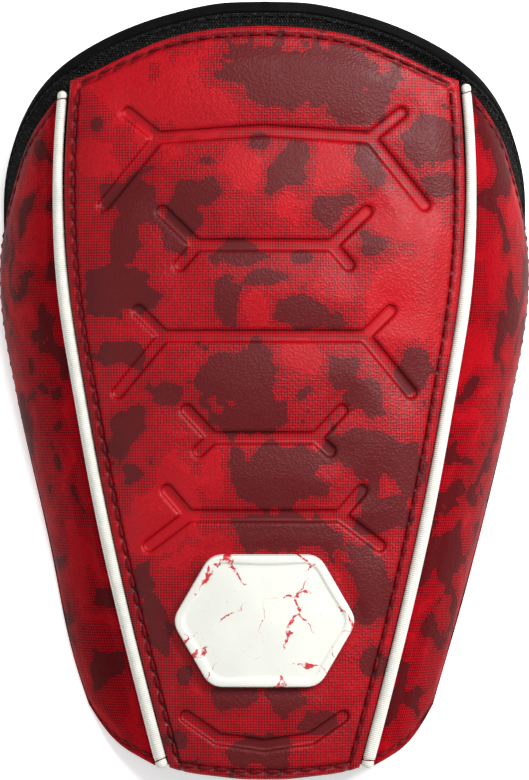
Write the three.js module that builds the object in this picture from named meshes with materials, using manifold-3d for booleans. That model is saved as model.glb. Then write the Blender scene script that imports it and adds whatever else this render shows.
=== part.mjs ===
// A baseball batter's elbow guard: a tapered, padded half shell with a printed cover in three panels, corded seams,
// a knitted lining that stands proud round the elbow end, and two elastic straps behind it.
// Millimetres. It is modelled face up, lying on its rear edges: +X to its right, +Y towards the elbow end, +Z up.
import * as THREE from 'three';
import { mergeVertices } from 'three/addons/utils/BufferGeometryUtils.js';
import Module from 'manifold-3d';

const wasm = await Module();
wasm.setup();

// Driving sizes of the whole guard
const GUARD_LENGTH = 196.5; // lining's rim to the forearm end, along the face
const SEAM_WIDTH = 105.6; // between the two corded seams, at the widest
const REAR_WIDTH = 137; // across the rear edges, at the widest
const ELBOW_DEPTH = 52; // face plane to the rear edge, where that edge starts at the elbow end
const FOREARM_DEPTH = 21; // the same, where it ends at the forearm end
const CROWN_RADIUS = 115; // of the centre panel, from side to side
const ELBOW_BOW = 6; // how far the face curves back at the elbow end
const FOREARM_BOW = 3; // and at the forearm end

// Driving sizes of the pieces
const SHELL_THICKNESS = 3.6; // cover and the foam bonded to it
const LINING_THICKNESS = 4.2; // knitted lining and its padding
const LINING_EDGE_THICKNESS = 2.6; // where the sewing pinches it
const PINCH_RUN = 9; // how far in from an edge the pinch reaches
const RIM_FLARE = 4.6; // how far the lining's rim stands out past the cover's edge
const EDGE_ROLL = 1.1; // how far a panel's face rolls down at its edge
const ROLL_RUN = 2.4; // how far in from the edge the roll starts
const PIPING_DIAMETER = 3;
const PIPING_SINK = 1.0; // centre of the cord below the face
const BINDING_WIDTH = 2.6;
const BINDING_PROUD = 0.5; // how far the binding stands above and below the lining
const CHANNEL_WIDTH = 3.1;
const CHANNEL_DEPTH = 1.1;
const BADGE_LENGTH = 46;
const BADGE_HEIGHT = 33;
const BADGE_THICKNESS = 1.8;
const BADGE_INSET = 40.25; // its centre from the forearm end
const STRAP_THICKNESS = 1.8;
const UPPER_STRAP_WIDTH = 38;
const UPPER_STRAP_INSET = 86.25; // its centre line from the elbow end
const LOWER_STRAP_WIDTH = 30;
const LOWER_STRAP_INSET = 43.25; // its centre line from the forearm end
const STRAP_LAP = 0.75; // how high a sewn strap end reaches, as a share of the wing's inner wall
const STRAP_BEND = 0.28; // how high it is free, to turn on to the table, as a share of the same
const GAP = 0.3; // between neighbouring pieces

const HALF_LENGTH = GUARD_LENGTH / 2;
const HALF_SEAM = SEAM_WIDTH / 2;
const HALF_REAR = REAR_WIDTH / 2;
const PIPING_RADIUS = PIPING_DIAMETER / 2;
const LINING_FACE = SHELL_THICKNESS + GAP; // below the outer face
const BADGE_CENTRE = BADGE_INSET - HALF_LENGTH;
const UPPER_STRAP_CENTRE = HALF_LENGTH - UPPER_STRAP_INSET;
const LOWER_STRAP_CENTRE = LOWER_STRAP_INSET - HALF_LENGTH;

// Sections across the guard. at: where, as a share of the half length. seam and rear: half widths at the corded seam
// and the rear edge, as shares of the largest. turn: how far out the wing bends down, as a share of its own width.
const SECTIONS = [
  { at: -1.0, seam: 0.478, rear: 0.555, turn: 0.55 },
  { at: -0.8, seam: 0.577, rear: 0.640, turn: 0.56 },
  { at: -0.54, seam: 0.697, rear: 0.753, turn: 0.62 },
  { at: -0.28, seam: 0.803, rear: 0.852, turn: 0.76 },
  { at: -0.027, seam: 0.890, rear: 0.936, turn: 0.9 },
  { at: 0.23, seam: 0.968, rear: 0.998, turn: 1.0 },
  { at: 0.4, seam: 0.996, rear: 1.0, turn: 1.0 },
  { at: 0.6, seam: 1.0, rear: 0.983, turn: 1.0 },
  { at: 0.8, seam: 0.975, rear: 0.945, turn: 1.0 },
  { at: 1.0, seam: 0.93, rear: 0.885, turn: 1.0 },
];
const WING_DROP = 0.4; // depth of the wing's bend, as a share of its own depth

// Edges, as shares of the half length, against the place across: 0 is the crest, 1 the seam and 2 the rear edge.
// flare is the share of RIM_FLARE by which the lining stands out at its rim, clear of the cover.
const RIM_EDGE = [
  { across: 0, at: 1.0, flare: 0.3 },
  { across: 0.25, at: 0.995, flare: 0.33 },
  { across: 0.5, at: 0.971, flare: 0.42 },
  { across: 0.75, at: 0.927, flare: 0.62 },
  { across: 1, at: 0.853, flare: 0.92 },
  { across: 1.3, at: 0.772, flare: 0.95 },
  { across: 1.55, at: 0.688, flare: 0.9 },
  { across: 1.8, at: 0.582, flare: 0.8 },
  { across: 1.93, at: 0.507, flare: 0.68 },
  { across: 2, at: 0.452, flare: 0.6 },
];
const PANEL_EDGES = [
  { across: 0, top: 0.932, bottom: -0.998 },
  { across: 0.25, top: 0.925, bottom: -0.997 },
  { across: 0.5, top: 0.902, bottom: -0.991 },
  { across: 0.75, top: 0.851, bottom: -0.984 },
  { across: 0.9, top: 0.815, bottom: -0.977 },
  { across: 1, top: 0.797, bottom: -0.969 },
];
const WING_EDGES = [
  { across: 1, top: 0.744, bottom: -0.968 },
  { across: 1.17, top: 0.692, bottom: -0.957 },
  { across: 1.35, top: 0.628, bottom: -0.944 },
  { across: 1.55, top: 0.518, bottom: -0.927 },
  { across: 1.75, top: 0.43, bottom: -0.897 },
  { across: 1.9, top: 0.378, bottom: -0.857 },
  { across: 2, top: 0.335, bottom: -0.82 },
];
const REAR_START = 0.4; // where ELBOW_DEPTH and FOREARM_DEPTH are measured, as shares of the half length
const REAR_END = -0.88;

// Flex channels pressed into the centre panel: a bar with a branch up and a branch down at each end. at, rise and the
// branch ends' At are shares of the half length, and bar and the ends' Across shares of the half seam width.
const CHANNELS = [
  { at: 0.661, rise: -0.017, bar: 0.507, upAcross: 0.655, upAt: 0.709, downAcross: 0.768, downAt: 0.473 },
  { at: 0.368, rise: 0, bar: 0.322, upAcross: 0.488, upAt: 0.455, downAcross: 0.403, downAt: 0.317 },
  { at: 0.136, rise: 0, bar: 0.479, upAcross: 0.602, upAt: 0.201, downAcross: 0.701, downAt: -0.009 },
  { at: -0.124, rise: 0, bar: 0.246, upAcross: 0.37, upAt: -0.053, downAcross: 0.313, downAt: -0.158 },
  { at: -0.323, rise: 0, bar: 0.36, upAcross: 0.464, upAt: -0.258, downAcross: 0.55, downAt: -0.4 },
  { at: -0.909, rise: 0.017, bar: 0.223, upAcross: 0.375, upAt: -0.836 },
];

// A smooth curve through one or more columns of a table, read by its first column.
function curveThrough(table, key, ...columns) {
  const places = Float64Array.from(table, (row) => row[key]);
  const values = Float64Array.from(table.flatMap((row) => columns.map((column) => row[column])));
  const spline = new THREE.CubicInterpolant(places, values, columns.length);
  return (place) => [...spline.evaluate(THREE.MathUtils.clamp(place, places[0], places.at(-1)))];
}

const sectionAt = curveThrough(SECTIONS, 'at', 'seam', 'rear', 'turn');
const rimAt = curveThrough(RIM_EDGE, 'across', 'at');
const flareAt = curveThrough(RIM_EDGE, 'across', 'flare');
const panelEdgesAt = curveThrough(PANEL_EDGES, 'across', 'top', 'bottom');
const wingEdgesAt = curveThrough(WING_EDGES, 'across', 'top', 'bottom');

// The rear edges lie on the table, so the face plane leans by this much.
const REAR_SLOPE = (ELBOW_DEPTH - FOREARM_DEPTH) / ((REAR_START - REAR_END) * HALF_LENGTH);
const LEAN = Math.atan(REAR_SLOPE);

const lerp = THREE.MathUtils.lerp;
const rearDepth = (y) => FOREARM_DEPTH + REAR_SLOPE * (y - REAR_END * HALF_LENGTH);

function crestDepth(y) {
  const share = y / HALF_LENGTH;
  return share * share * (y > 0 ? ELBOW_BOW : FOREARM_BOW);
}

// A point of the outer face, before any offset. Each wing is one bend from the seam to the rear edge.
function facePoint(across, y) {
  const [seamShare, rearShare, turn] = sectionAt(y / HALF_LENGTH);
  const seam = seamShare * HALF_SEAM;
  const side = Math.sign(across);
  const reach = Math.abs(across);
  const seamDepth = crestDepth(y) + (seam * seam) / (2 * CROWN_RADIUS);
  if (reach <= 1) {
    const x = reach * seam;
    return new THREE.Vector3(side * x, y, -crestDepth(y) - (x * x) / (2 * CROWN_RADIUS));
  }
  const width = rearShare * HALF_REAR - seam;
  const drop = rearDepth(y) - seamDepth;
  const share = Math.min(reach - 1, 1);
  const beyond = Math.max(reach - 2, 0);
  const bend = 2 * share * (1 - share);
  const out = width * (bend * turn + share * share + 2 * beyond * (1 - turn));
  const down = drop * (bend * WING_DROP + share * share + 2 * beyond * (1 - WING_DROP));
  return new THREE.Vector3(side * (seam + out), y, -seamDepth - down);
}

// The way out of the face, evened out a little to either side so that it turns gently at the seam.
function faceNormal(across, y) {
  const step = 0.05;
  const alongAcross = facePoint(across + step, y).sub(facePoint(across - step, y));
  const alongLength = facePoint(across, y + 1).sub(facePoint(across, y - 1));
  return alongAcross.cross(alongLength).normalize();
}

const offsetPoint = (across, y, offset) => facePoint(across, y).addScaledVector(faceNormal(across, y), offset);

// Millimetres of surface for each unit of the place across.
const acrossScale = (across, y) => facePoint(across + 0.01, y).distanceTo(facePoint(across, y)) / 0.01;

// How far the panels stop short of the seam, to leave room for the cord sunk where the face turns.
function seamClearance(y) {
  const turn = faceNormal(0.94, y).angleTo(faceNormal(1.06, y));
  return PIPING_RADIUS + GAP + PIPING_SINK * Math.sin(turn / 2);
}

// The rim's place along the guard, and how much longer a step square to the rim is when measured along the guard.
function rimLine(across) {
  const reach = Math.min(Math.abs(across), 2);
  const near = Math.max(reach - 0.01, 0);
  const far = Math.min(reach + 0.01, 2);
  const y = rimAt(reach)[0] * HALF_LENGTH;
  const fall = (rimAt(near)[0] - rimAt(far)[0]) * HALF_LENGTH;
  return { y, slant: Math.hypot(1, fall / ((far - near) * acrossScale(reach, y))) };
}

// Where the lining ends: at the forearm end with the cover, and at the rim with room for the binding.
function liningEnds(across) {
  const reach = Math.min(Math.abs(across), 2);
  const bottom = (reach < 1 ? panelEdgesAt(reach)[1] : wingEdgesAt(reach)[1]) * HALF_LENGTH;
  const rim = rimLine(across);
  return [bottom + 2 * GAP, rim.y - (BINDING_WIDTH + GAP) * rim.slant];
}

const coverTop = (reach) => (reach <= 1 ? panelEdgesAt(reach)[0] : wingEdgesAt(reach)[0]) * HALF_LENGTH;

// How far the lining's face has come out of its place under the cover, once it is past the cover's edge.
function rimLift(across, y) {
  const reach = Math.min(Math.abs(across), 2);
  const [, top] = liningEnds(across);
  return RIM_FLARE * flareAt(reach)[0] * THREE.MathUtils.smoothstep(y, coverTop(reach) + 2 * GAP, top);
}

// How thick the lining is: pinched by the sewing near the rim, the forearm end and the rear edges.
function liningThickness(across, y) {
  const reach = Math.min(Math.abs(across), 2);
  const [bottom, top] = liningEnds(across);
  const toRear = (2 - reach) * acrossScale(reach, y);
  const inward = THREE.MathUtils.clamp(Math.min(toRear, top - y, y - bottom) / PINCH_RUN, 0, 1);
  return lerp(LINING_EDGE_THICKNESS, LINING_THICKNESS, 1 - (1 - inward) ** 2);
}

const liningFacePoint = (across, y) => offsetPoint(across, y, rimLift(across, y) - LINING_FACE);
const liningPoint = (across, y, lift) =>
  offsetPoint(across, y, rimLift(across, y) - LINING_FACE - liningThickness(across, y) - lift);

const tablePoint = (x, y) => new THREE.Vector3(x, y, -rearDepth(y));

// Solids and meshes
function geometryFrom(points, triangles) {
  const geometry = new THREE.BufferGeometry().setFromPoints(points);
  geometry.setIndex(triangles.flat());
  return geometry;
}

function solidFrom(geometry) {
  const bare = new THREE.BufferGeometry();
  bare.setAttribute('position', geometry.getAttribute('position'));
  bare.setIndex(geometry.index);
  const merged = mergeVertices(bare, 1e-4);
  return new wasm.Manifold(
    new wasm.Mesh({
      numProp: 3,
      vertProperties: merged.getAttribute('position').array,
      triVerts: new Uint32Array(merged.index.array),
    }),
  );
}

function geometryOf(solid) {
  const mesh = solid.getMesh();
  const geometry = new THREE.BufferGeometry();
  geometry.setAttribute('position', new THREE.BufferAttribute(mesh.vertProperties, mesh.numProp));
  geometry.setIndex(new THREE.BufferAttribute(mesh.triVerts, 1));
  const loose = geometry.toNonIndexed();
  loose.computeVertexNormals();
  return loose;
}

// A closed slab between two grids of points. Columns run along +X, rows along +Y, and upper(column, row) is its top.
function slab(columns, rows, upper, lower) {
  const points = [upper, lower].flatMap((side) => rows.flatMap((row) => columns.map((column) => side(column, row))));
  const top = (i, j) => j * columns.length + i;
  const under = (i, j) => rows.length * columns.length + top(i, j);
  const triangles = [];
  const quad = (a, b, c, d) => triangles.push([a, b, c], [a, c, d]);
  const lastColumn = columns.length - 1;
  const lastRow = rows.length - 1;
  for (let j = 0; j < lastRow; j++) {
    for (let i = 0; i < lastColumn; i++) {
      quad(top(i, j), top(i + 1, j), top(i + 1, j + 1), top(i, j + 1));
      quad(under(i, j), under(i, j + 1), under(i + 1, j + 1), under(i + 1, j));
    }
    quad(top(0, j), top(0, j + 1), under(0, j + 1), under(0, j));
    quad(top(lastColumn, j), under(lastColumn, j), under(lastColumn, j + 1), top(lastColumn, j + 1));
  }
  for (let i = 0; i < lastColumn; i++) {
    quad(top(i, 0), under(i, 0), under(i + 1, 0), top(i + 1, 0));
    quad(top(i, lastRow), top(i + 1, lastRow), under(i + 1, lastRow), under(i, lastRow));
  }
  return geometryFrom(points, triangles);
}

// A closed loft through rings of equally many points, each ring turning anticlockwise about the way ahead.
function loft(rings) {
  const count = rings[0].length;
  const triangles = [];
  for (let k = 0; k + 1 < rings.length; k++) {
    for (let i = 0; i < count; i++) {
      const next = (i + 1) % count;
      const near = k * count;
      const far = near + count;
      triangles.push([near + i, near + next, far + next], [near + i, far + next, far + i]);
    }
  }
  const last = (rings.length - 1) * count;
  for (let i = 1; i + 1 < count; i++) {
    triangles.push([0, i + 1, i], [last, last + i, last + i + 1]);
  }
  return geometryFrom(rings.flat(), triangles);
}

// Shares from 0 to 1 in equal steps, with one more line at each end where a rolled edge starts.
function shares(steps, edge) {
  const inner = Array.from({ length: steps + 1 }, (_, i) => lerp(edge, 1 - edge, i / steps));
  return [0, ...inner, 1];
}

const evenly = (from, to, steps) => Array.from({ length: steps + 1 }, (_, i) => lerp(from, to, i / steps));
const rolled = (...edgeShares) => (edgeShares.some((share) => share === 0 || share === 1) ? -EDGE_ROLL : 0);

// Everything below the table plane, to be cut from what rests on it.
function belowTable() {
  const size = 2 * GUARD_LENGTH;
  const block = new THREE.BoxGeometry(size, size, size);
  block.deleteAttribute('normal');
  block.deleteAttribute('uv');
  block.translate(0, 0, -size / 2);
  block.rotateX(-LEAN);
  block.translate(0, 0, -rearDepth(0));
  return solidFrom(block);
}

const underTable = belowTable();
const REAR_OVERRUN = 2.1; // place across that the resting pieces reach before the table trims them
const ACROSS_STEPS = 14;
const LINING_STEPS = 42; // across, from table to table, shared with the binding
const ALONG_STEPS = 16;

// Where the centre panel's grid lies: share is -1 to 1 across the panel and height 0 to 1 along it.
function panelPlace(share, height) {
  const [top, bottom] = panelEdgesAt(Math.abs(share));
  const y = lerp(bottom, top, height) * HALF_LENGTH;
  return [share * (1 - seamClearance(y) / acrossScale(0.98, y)), y];
}

function panelSlab(upperOffset, lowerOffset, edgeRoll) {
  const columns = shares(ACROSS_STEPS, ROLL_RUN / SEAM_WIDTH);
  const rows = shares(ALONG_STEPS, ROLL_RUN / GUARD_LENGTH);
  const point = (column, row, offset) => offsetPoint(...panelPlace(2 * column - 1, row), offset);
  return solidFrom(
    slab(
      columns,
      rows,
      (column, row) => point(column, row, upperOffset + edgeRoll * rolled(column, row)),
      (column, row) => point(column, row, lowerOffset),
    ),
  );
}

// A bar with round ends from one point to another, extruded through the whole depth of the panel.
function channelBar(from, to) {
  const radius = CHANNEL_WIDTH / 2;
  const heading = Math.atan2(to.y - from.y, to.x - from.x);
  const outline = new THREE.Shape();
  outline.absarc(to.x, to.y, radius, heading - Math.PI / 2, heading + Math.PI / 2, false);
  outline.absarc(from.x, from.y, radius, heading + Math.PI / 2, heading + (3 * Math.PI) / 2, false);
  outline.closePath();
  return prism(outline);
}

function prism(outline) {
  const height = 4 * ELBOW_DEPTH;
  const extruded = new THREE.ExtrudeGeometry(outline, { depth: height, bevelEnabled: false, curveSegments: 3 });
  extruded.deleteAttribute('normal');
  extruded.deleteAttribute('uv');
  extruded.translate(0, 0, -height / 2);
  return solidFrom(mergeVertices(extruded));
}

function channelPrism(row) {
  const middle = new THREE.Vector2(0, row.at * HALF_LENGTH);
  const bars = [];
  for (const side of [-1, 1]) {
    const place = (across, at) => new THREE.Vector2(side * across * HALF_SEAM, at * HALF_LENGTH);
    const fork = place(row.bar, row.at + row.rise);
    bars.push(channelBar(middle, fork), channelBar(fork, place(row.upAcross, row.upAt)));
    if (row.downAcross) {
      bars.push(channelBar(fork, place(row.downAcross, row.downAt)));
    }
  }
  return bars.reduce((all, bar) => all.add(bar));
}

function centrePanel() {
  const skin = panelSlab(CHANNEL_DEPTH, -CHANNEL_DEPTH, 0);
  const body = panelSlab(0, -SHELL_THICKNESS, 1);
  return CHANNELS.reduce((panel, row) => panel.subtract(channelPrism(row).intersect(skin)), body);
}

function rightWing() {
  const steps = 7;
  const columns = shares(steps, ROLL_RUN / (ELBOW_DEPTH + HALF_REAR - HALF_SEAM));
  const rows = shares(ALONG_STEPS, ROLL_RUN / GUARD_LENGTH);
  const place = (column, row) => {
    const nominal = 1 + column * (REAR_OVERRUN - 1);
    const [top, bottom] = wingEdgesAt(nominal);
    const y = lerp(bottom, top, row) * HALF_LENGTH;
    const start = 1 + seamClearance(y) / acrossScale(1, y);
    return [lerp(start, REAR_OVERRUN, column), y];
  };
  const wing = slab(
    columns,
    rows,
    (column, row) => offsetPoint(...place(column, row), rolled(column, row)),
    (column, row) => offsetPoint(...place(column, row), -SHELL_THICKNESS),
  );
  return solidFrom(wing).subtract(underTable);
}

// Rows of the lining run from 0 at the forearm end to 1 just past the cover's edge, and on to 2 at the binding.
function lining() {
  const columns = evenly(-REAR_OVERRUN, REAR_OVERRUN, LINING_STEPS);
  const rows = [0, PINCH_RUN / GUARD_LENGTH / 2, ...evenly(PINCH_RUN / GUARD_LENGTH, 1, ALONG_STEPS), 1.25, 1.5, 1.75, 2];
  const place = (across, row) => {
    const [bottom, top] = liningEnds(across);
    const clear = coverTop(Math.min(Math.abs(across), 2)) + 2 * GAP;
    return [across, row <= 1 ? lerp(bottom, clear, row) : lerp(clear, top, row - 1)];
  };
  const body = slab(
    columns,
    rows,
    (across, row) => liningFacePoint(...place(across, row)),
    (across, row) => liningPoint(...place(across, row), 0),
  );
  return solidFrom(body).subtract(underTable);
}

// The binding rolls over the lining's edge as a half round, along the rim from table to table.
function rimBinding() {
  const arcSteps = 5;
  const edgeTop = (across) => liningFacePoint(across, liningEnds(across)[1]);
  const edgeUnder = (across) => liningPoint(across, liningEnds(across)[1], 0);
  const rings = evenly(-REAR_OVERRUN, REAR_OVERRUN, LINING_STEPS).map((across) => {
    const top = edgeTop(across);
    const under = edgeUnder(across);
    const ahead = edgeTop(across + 0.02).sub(edgeTop(across - 0.02));
    const up = top.clone().sub(under).normalize();
    const outward = new THREE.Vector3().crossVectors(up, ahead).normalize();
    const back = top.clone().lerp(under, 0.5).addScaledVector(outward, GAP);
    const halfHeight = top.distanceTo(under) / 2 + BINDING_PROUD;
    return evenly(-Math.PI / 2, Math.PI / 2, arcSteps).map((angle) =>
      back
        .clone()
        .addScaledVector(outward, BINDING_WIDTH * Math.cos(angle))
        .addScaledVector(up, halfHeight * Math.sin(angle)),
    );
  });
  return solidFrom(loft(rings)).subtract(underTable);
}

function piping() {
  const steps = 40;
  const [top] = panelEdgesAt(1);
  const [, bottom] = wingEdgesAt(1);
  const reach = evenly(bottom * HALF_LENGTH - GAP, top * HALF_LENGTH - PIPING_DIAMETER, steps);
  const path = new THREE.CatmullRomCurve3(reach.map((y) => offsetPoint(1, y, -PIPING_SINK)));
  const section = new THREE.Shape().absarc(0, 0, PIPING_RADIUS, 0, 2 * Math.PI, false);
  const cord = new THREE.ExtrudeGeometry(section, { steps, extrudePath: path, curveSegments: 5 });
  cord.deleteAttribute('normal');
  cord.deleteAttribute('uv');
  return solidFrom(mergeVertices(cord, 1e-4));
}

// A plain six-sided plate that follows the centre panel's curve.
function badge() {
  const halfLength = BADGE_LENGTH / 2;
  const halfHeight = BADGE_HEIGHT / 2;
  const shoulder = halfLength - halfHeight / Math.sqrt(3);
  const outline = new THREE.Shape();
  outline.moveTo(halfLength, BADGE_CENTRE);
  outline.lineTo(shoulder, BADGE_CENTRE + halfHeight);
  outline.lineTo(-shoulder, BADGE_CENTRE + halfHeight);
  outline.lineTo(-halfLength, BADGE_CENTRE);
  outline.lineTo(-shoulder, BADGE_CENTRE - halfHeight);
  outline.lineTo(shoulder, BADGE_CENTRE - halfHeight);
  outline.closePath();
  return panelSlab(GAP + BADGE_THICKNESS, GAP, 0).intersect(prism(outline));
}

// Where the lining's inner wall, cleared by a gap, comes down to the table.
function footAcross(y) {
  let high = 1;
  let low = REAR_OVERRUN;
  for (let i = 0; i < 24; i++) {
    const middle = (high + low) / 2;
    const point = liningPoint(middle, y, GAP);
    if (point.z > -rearDepth(point.y)) {
      high = middle;
    } else {
      low = middle;
    }
  }
  return high;
}

// One strap: each end is sewn inside a wing, and the free part turns on to the table and crosses it flat.
function strap(centre, width) {
  const sewnSteps = 4;
  const bendSteps = 4;
  const flatSteps = 2;
  const widthSteps = 3;
  const underside = (y) => {
    const footPlace = footAcross(y);
    const wall = footPlace - 1;
    const foot = liningPoint(footPlace, y, GAP);
    const sewn = evenly(footPlace - STRAP_BEND * wall, footPlace - STRAP_LAP * wall, sewnSteps).map((across) =>
      liningPoint(across, y, GAP),
    );
    const land = tablePoint(foot.x - sewn[0].distanceTo(foot), y);
    const turn = new THREE.QuadraticBezierCurve3(land, tablePoint(foot.x, y), sewn[0]).getPoints(bendSteps);
    const flat = evenly(0, land.x, flatSteps).map((x) => tablePoint(x, y));
    const right = [...flat, ...turn.slice(1), ...sewn.slice(1)];
    const left = right.slice(1).map((point) => point.clone().setX(-point.x));
    return [...left.reverse(), ...right];
  };
  const along = new THREE.Vector3(0, Math.cos(LEAN), -Math.sin(LEAN));
  const rows = evenly(centre - width / 2, centre + width / 2, widthSteps);
  const undersides = new Map(rows.map((y) => [y, underside(y)]));
  const columns = undersides.get(rows[0]).map((_, i) => i);
  const topPoint = (i, points) => {
    const before = points[Math.max(i - 1, 0)];
    const after = points[Math.min(i + 1, points.length - 1)];
    const up = after.clone().sub(before).cross(along).normalize();
    return points[i].clone().addScaledVector(up, STRAP_THICKNESS);
  };
  const body = slab(
    columns,
    rows,
    (i, y) => topPoint(i, undersides.get(y)),
    (i, y) => undersides.get(y)[i],
  );
  return solidFrom(body);
}

const finishes = {
  cover: new THREE.MeshStandardMaterial({ color: '#b01820', roughness: 0.5, metalness: 0 }),
  wingCover: new THREE.MeshStandardMaterial({ color: '#8c1219', roughness: 0.6, metalness: 0 }),
  cord: new THREE.MeshStandardMaterial({ color: '#e6e8e0', roughness: 0.7, metalness: 0 }),
  knit: new THREE.MeshStandardMaterial({ color: '#0c0d0d', roughness: 0.9, metalness: 0 }),
  tape: new THREE.MeshStandardMaterial({ color: '#080808', roughness: 0.75, metalness: 0 }),
  rubber: new THREE.MeshStandardMaterial({ color: '#eef0e8', roughness: 0.45, metalness: 0 }),
  elastic: new THREE.MeshStandardMaterial({ color: '#101111', roughness: 0.85, metalness: 0 }),
};

const guard = new THREE.Group();

function addPiece(name, geometry, material, mirrored = false) {
  const mesh = new THREE.Mesh(geometry, material);
  mesh.name = name;
  mesh.scale.x = mirrored ? -1 : 1;
  guard.add(mesh);
}

const wingGeometry = geometryOf(rightWing());
const pipingGeometry = geometryOf(piping());
addPiece('centre_panel', geometryOf(centrePanel()), finishes.cover);
addPiece('right_wing', wingGeometry, finishes.wingCover);
addPiece('left_wing', wingGeometry, finishes.wingCover, true);
addPiece('right_piping', pipingGeometry, finishes.cord);
addPiece('left_piping', pipingGeometry, finishes.cord, true);
addPiece('lining', geometryOf(lining()), finishes.knit);
addPiece('rim_binding', geometryOf(rimBinding()), finishes.tape);
addPiece('badge', geometryOf(badge()), finishes.rubber);
addPiece('upper_strap', geometryOf(strap(UPPER_STRAP_CENTRE, UPPER_STRAP_WIDTH)), finishes.elastic);
addPiece('lower_strap', geometryOf(strap(LOWER_STRAP_CENTRE, LOWER_STRAP_WIDTH)), finishes.elastic);

// The guard is leaned on to its rear edges, and its origin put at the middle of its footprint, on the table.
guard.rotation.x = LEAN;
guard.updateMatrixWorld(true);
const bounds = new THREE.Box3().setFromObject(guard, true);
const middle = bounds.getCenter(new THREE.Vector3());
guard.position.set(-middle.x, -middle.y, -bounds.min.z);

export default guard;
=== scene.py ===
"""Dresses the elbow guard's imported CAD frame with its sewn, padded and moulded pieces."""

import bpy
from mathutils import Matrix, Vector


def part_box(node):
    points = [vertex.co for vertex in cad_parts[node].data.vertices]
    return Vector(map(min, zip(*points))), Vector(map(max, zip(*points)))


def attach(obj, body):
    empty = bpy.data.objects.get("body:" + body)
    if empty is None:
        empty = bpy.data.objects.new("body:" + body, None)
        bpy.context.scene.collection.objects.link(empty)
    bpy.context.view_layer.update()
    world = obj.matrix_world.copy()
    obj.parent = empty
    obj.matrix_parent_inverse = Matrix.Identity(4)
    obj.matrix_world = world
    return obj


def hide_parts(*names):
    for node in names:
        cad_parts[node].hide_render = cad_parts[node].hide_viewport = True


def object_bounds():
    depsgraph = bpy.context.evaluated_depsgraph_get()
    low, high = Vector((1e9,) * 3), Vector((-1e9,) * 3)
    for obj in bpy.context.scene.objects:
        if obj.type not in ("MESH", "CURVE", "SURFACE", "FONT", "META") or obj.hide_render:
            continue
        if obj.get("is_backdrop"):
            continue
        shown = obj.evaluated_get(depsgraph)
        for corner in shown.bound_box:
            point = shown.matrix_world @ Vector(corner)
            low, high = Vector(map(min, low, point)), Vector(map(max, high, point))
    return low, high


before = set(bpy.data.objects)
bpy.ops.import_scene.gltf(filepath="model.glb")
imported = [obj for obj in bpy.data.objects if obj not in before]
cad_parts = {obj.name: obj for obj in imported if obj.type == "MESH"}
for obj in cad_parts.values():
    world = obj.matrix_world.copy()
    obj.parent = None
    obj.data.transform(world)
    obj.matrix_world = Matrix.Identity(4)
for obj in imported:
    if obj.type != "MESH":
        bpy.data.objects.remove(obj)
CAD_BOX = [list(corner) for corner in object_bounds()]

import math

import bmesh
import bpy
import numpy as np
from mathutils import Matrix, Vector

bl_info = {
    "name": "Baseball Elbow Guard",
    "version": (1, 0, 0),
    "blender": (4, 5, 0),
    "location": "3D View > Sidebar > Elbow Guard",
    "description": "Builds a batter's elbow guard: covers, piping, lining, binding, badge, straps and stitching",
    "category": "Object",
}

MM = 0.001
MIRROR = np.array([-1, 1, 1])

# The face across each section, as shares of the half length, half seam width and half rear width, and the wing's turn
SECTIONS = [
    (-1.0, 0.478, 0.555, 0.55),
    (-0.8, 0.577, 0.640, 0.56),
    (-0.54, 0.697, 0.753, 0.62),
    (-0.28, 0.803, 0.852, 0.76),
    (-0.027, 0.890, 0.936, 0.9),
    (0.23, 0.968, 0.998, 1.0),
    (0.4, 0.996, 1.0, 1.0),
    (0.6, 1.0, 0.983, 1.0),
    (0.8, 0.975, 0.945, 1.0),
    (1.0, 0.93, 0.885, 1.0),
]
# How far down the knee of a wing's curve lies, as a share of the wing's depth
WING_DROP = 0.4

# The lining's rim at the elbow end: place across, share of the half length, flare
RIM_EDGE = [
    (0, 1.0, 0.3),
    (0.25, 0.995, 0.33),
    (0.5, 0.971, 0.42),
    (0.75, 0.927, 0.62),
    (1, 0.853, 0.92),
    (1.3, 0.772, 0.95),
    (1.55, 0.688, 0.9),
    (1.8, 0.582, 0.8),
    (1.93, 0.507, 0.68),
    (2, 0.452, 0.6),
]
# Elbow end and forearm end of the centre panel and of the wings, by place across
PANEL_EDGES = [
    (0, 0.932, -0.998),
    (0.25, 0.925, -0.997),
    (0.5, 0.902, -0.991),
    (0.75, 0.851, -0.984),
    (0.9, 0.815, -0.977),
    (1, 0.797, -0.969),
]
WING_EDGES = [
    (1, 0.744, -0.968),
    (1.17, 0.692, -0.957),
    (1.35, 0.628, -0.944),
    (1.55, 0.518, -0.927),
    (1.75, 0.43, -0.897),
    (1.9, 0.378, -0.857),
    (2, 0.335, -0.82),
]
# How far the left wing bulges out near its forearm end, where along the guard's middle, and over what length
BELLY, BELLY_PLACE, BELLY_SPREAD = 2.2 * MM, -64 * MM, 24 * MM
# How much higher the right and the left wing reach at the elbow end, as shares of the half length, and by what
# lengths their cords do
RIGHT_REACH, LEFT_REACH = 0.030, 0.010
RIGHT_CORD_REACH, LEFT_CORD_REACH = 2.2 * MM, 0.4 * MM
# Where the rear edges lie on the table, as shares of the half length, and a place across that is well below it
REAR_START, REAR_END = 0.4, -0.88
REAR_OVERRUN = 2.1

# Each flex channel, in shares of the half widths and lengths: bar's height, rise to its fork, fork across, upper
# branch's end, lower branch's end
CHANNELS = [
    (0.661, -0.017, 0.507, (0.655, 0.709), (0.768, 0.473)),
    (0.368, 0.0, 0.322, (0.488, 0.455), (0.403, 0.317)),
    (0.136, 0.0, 0.479, (0.602, 0.201), (0.701, -0.009)),
    (-0.124, 0.0, 0.246, (0.37, -0.053), (0.313, -0.158)),
    (-0.323, 0.0, 0.36, (0.464, -0.258), (0.55, -0.4)),
    (-0.909, 0.017, 0.223, (0.375, -0.836), None),
]

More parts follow.
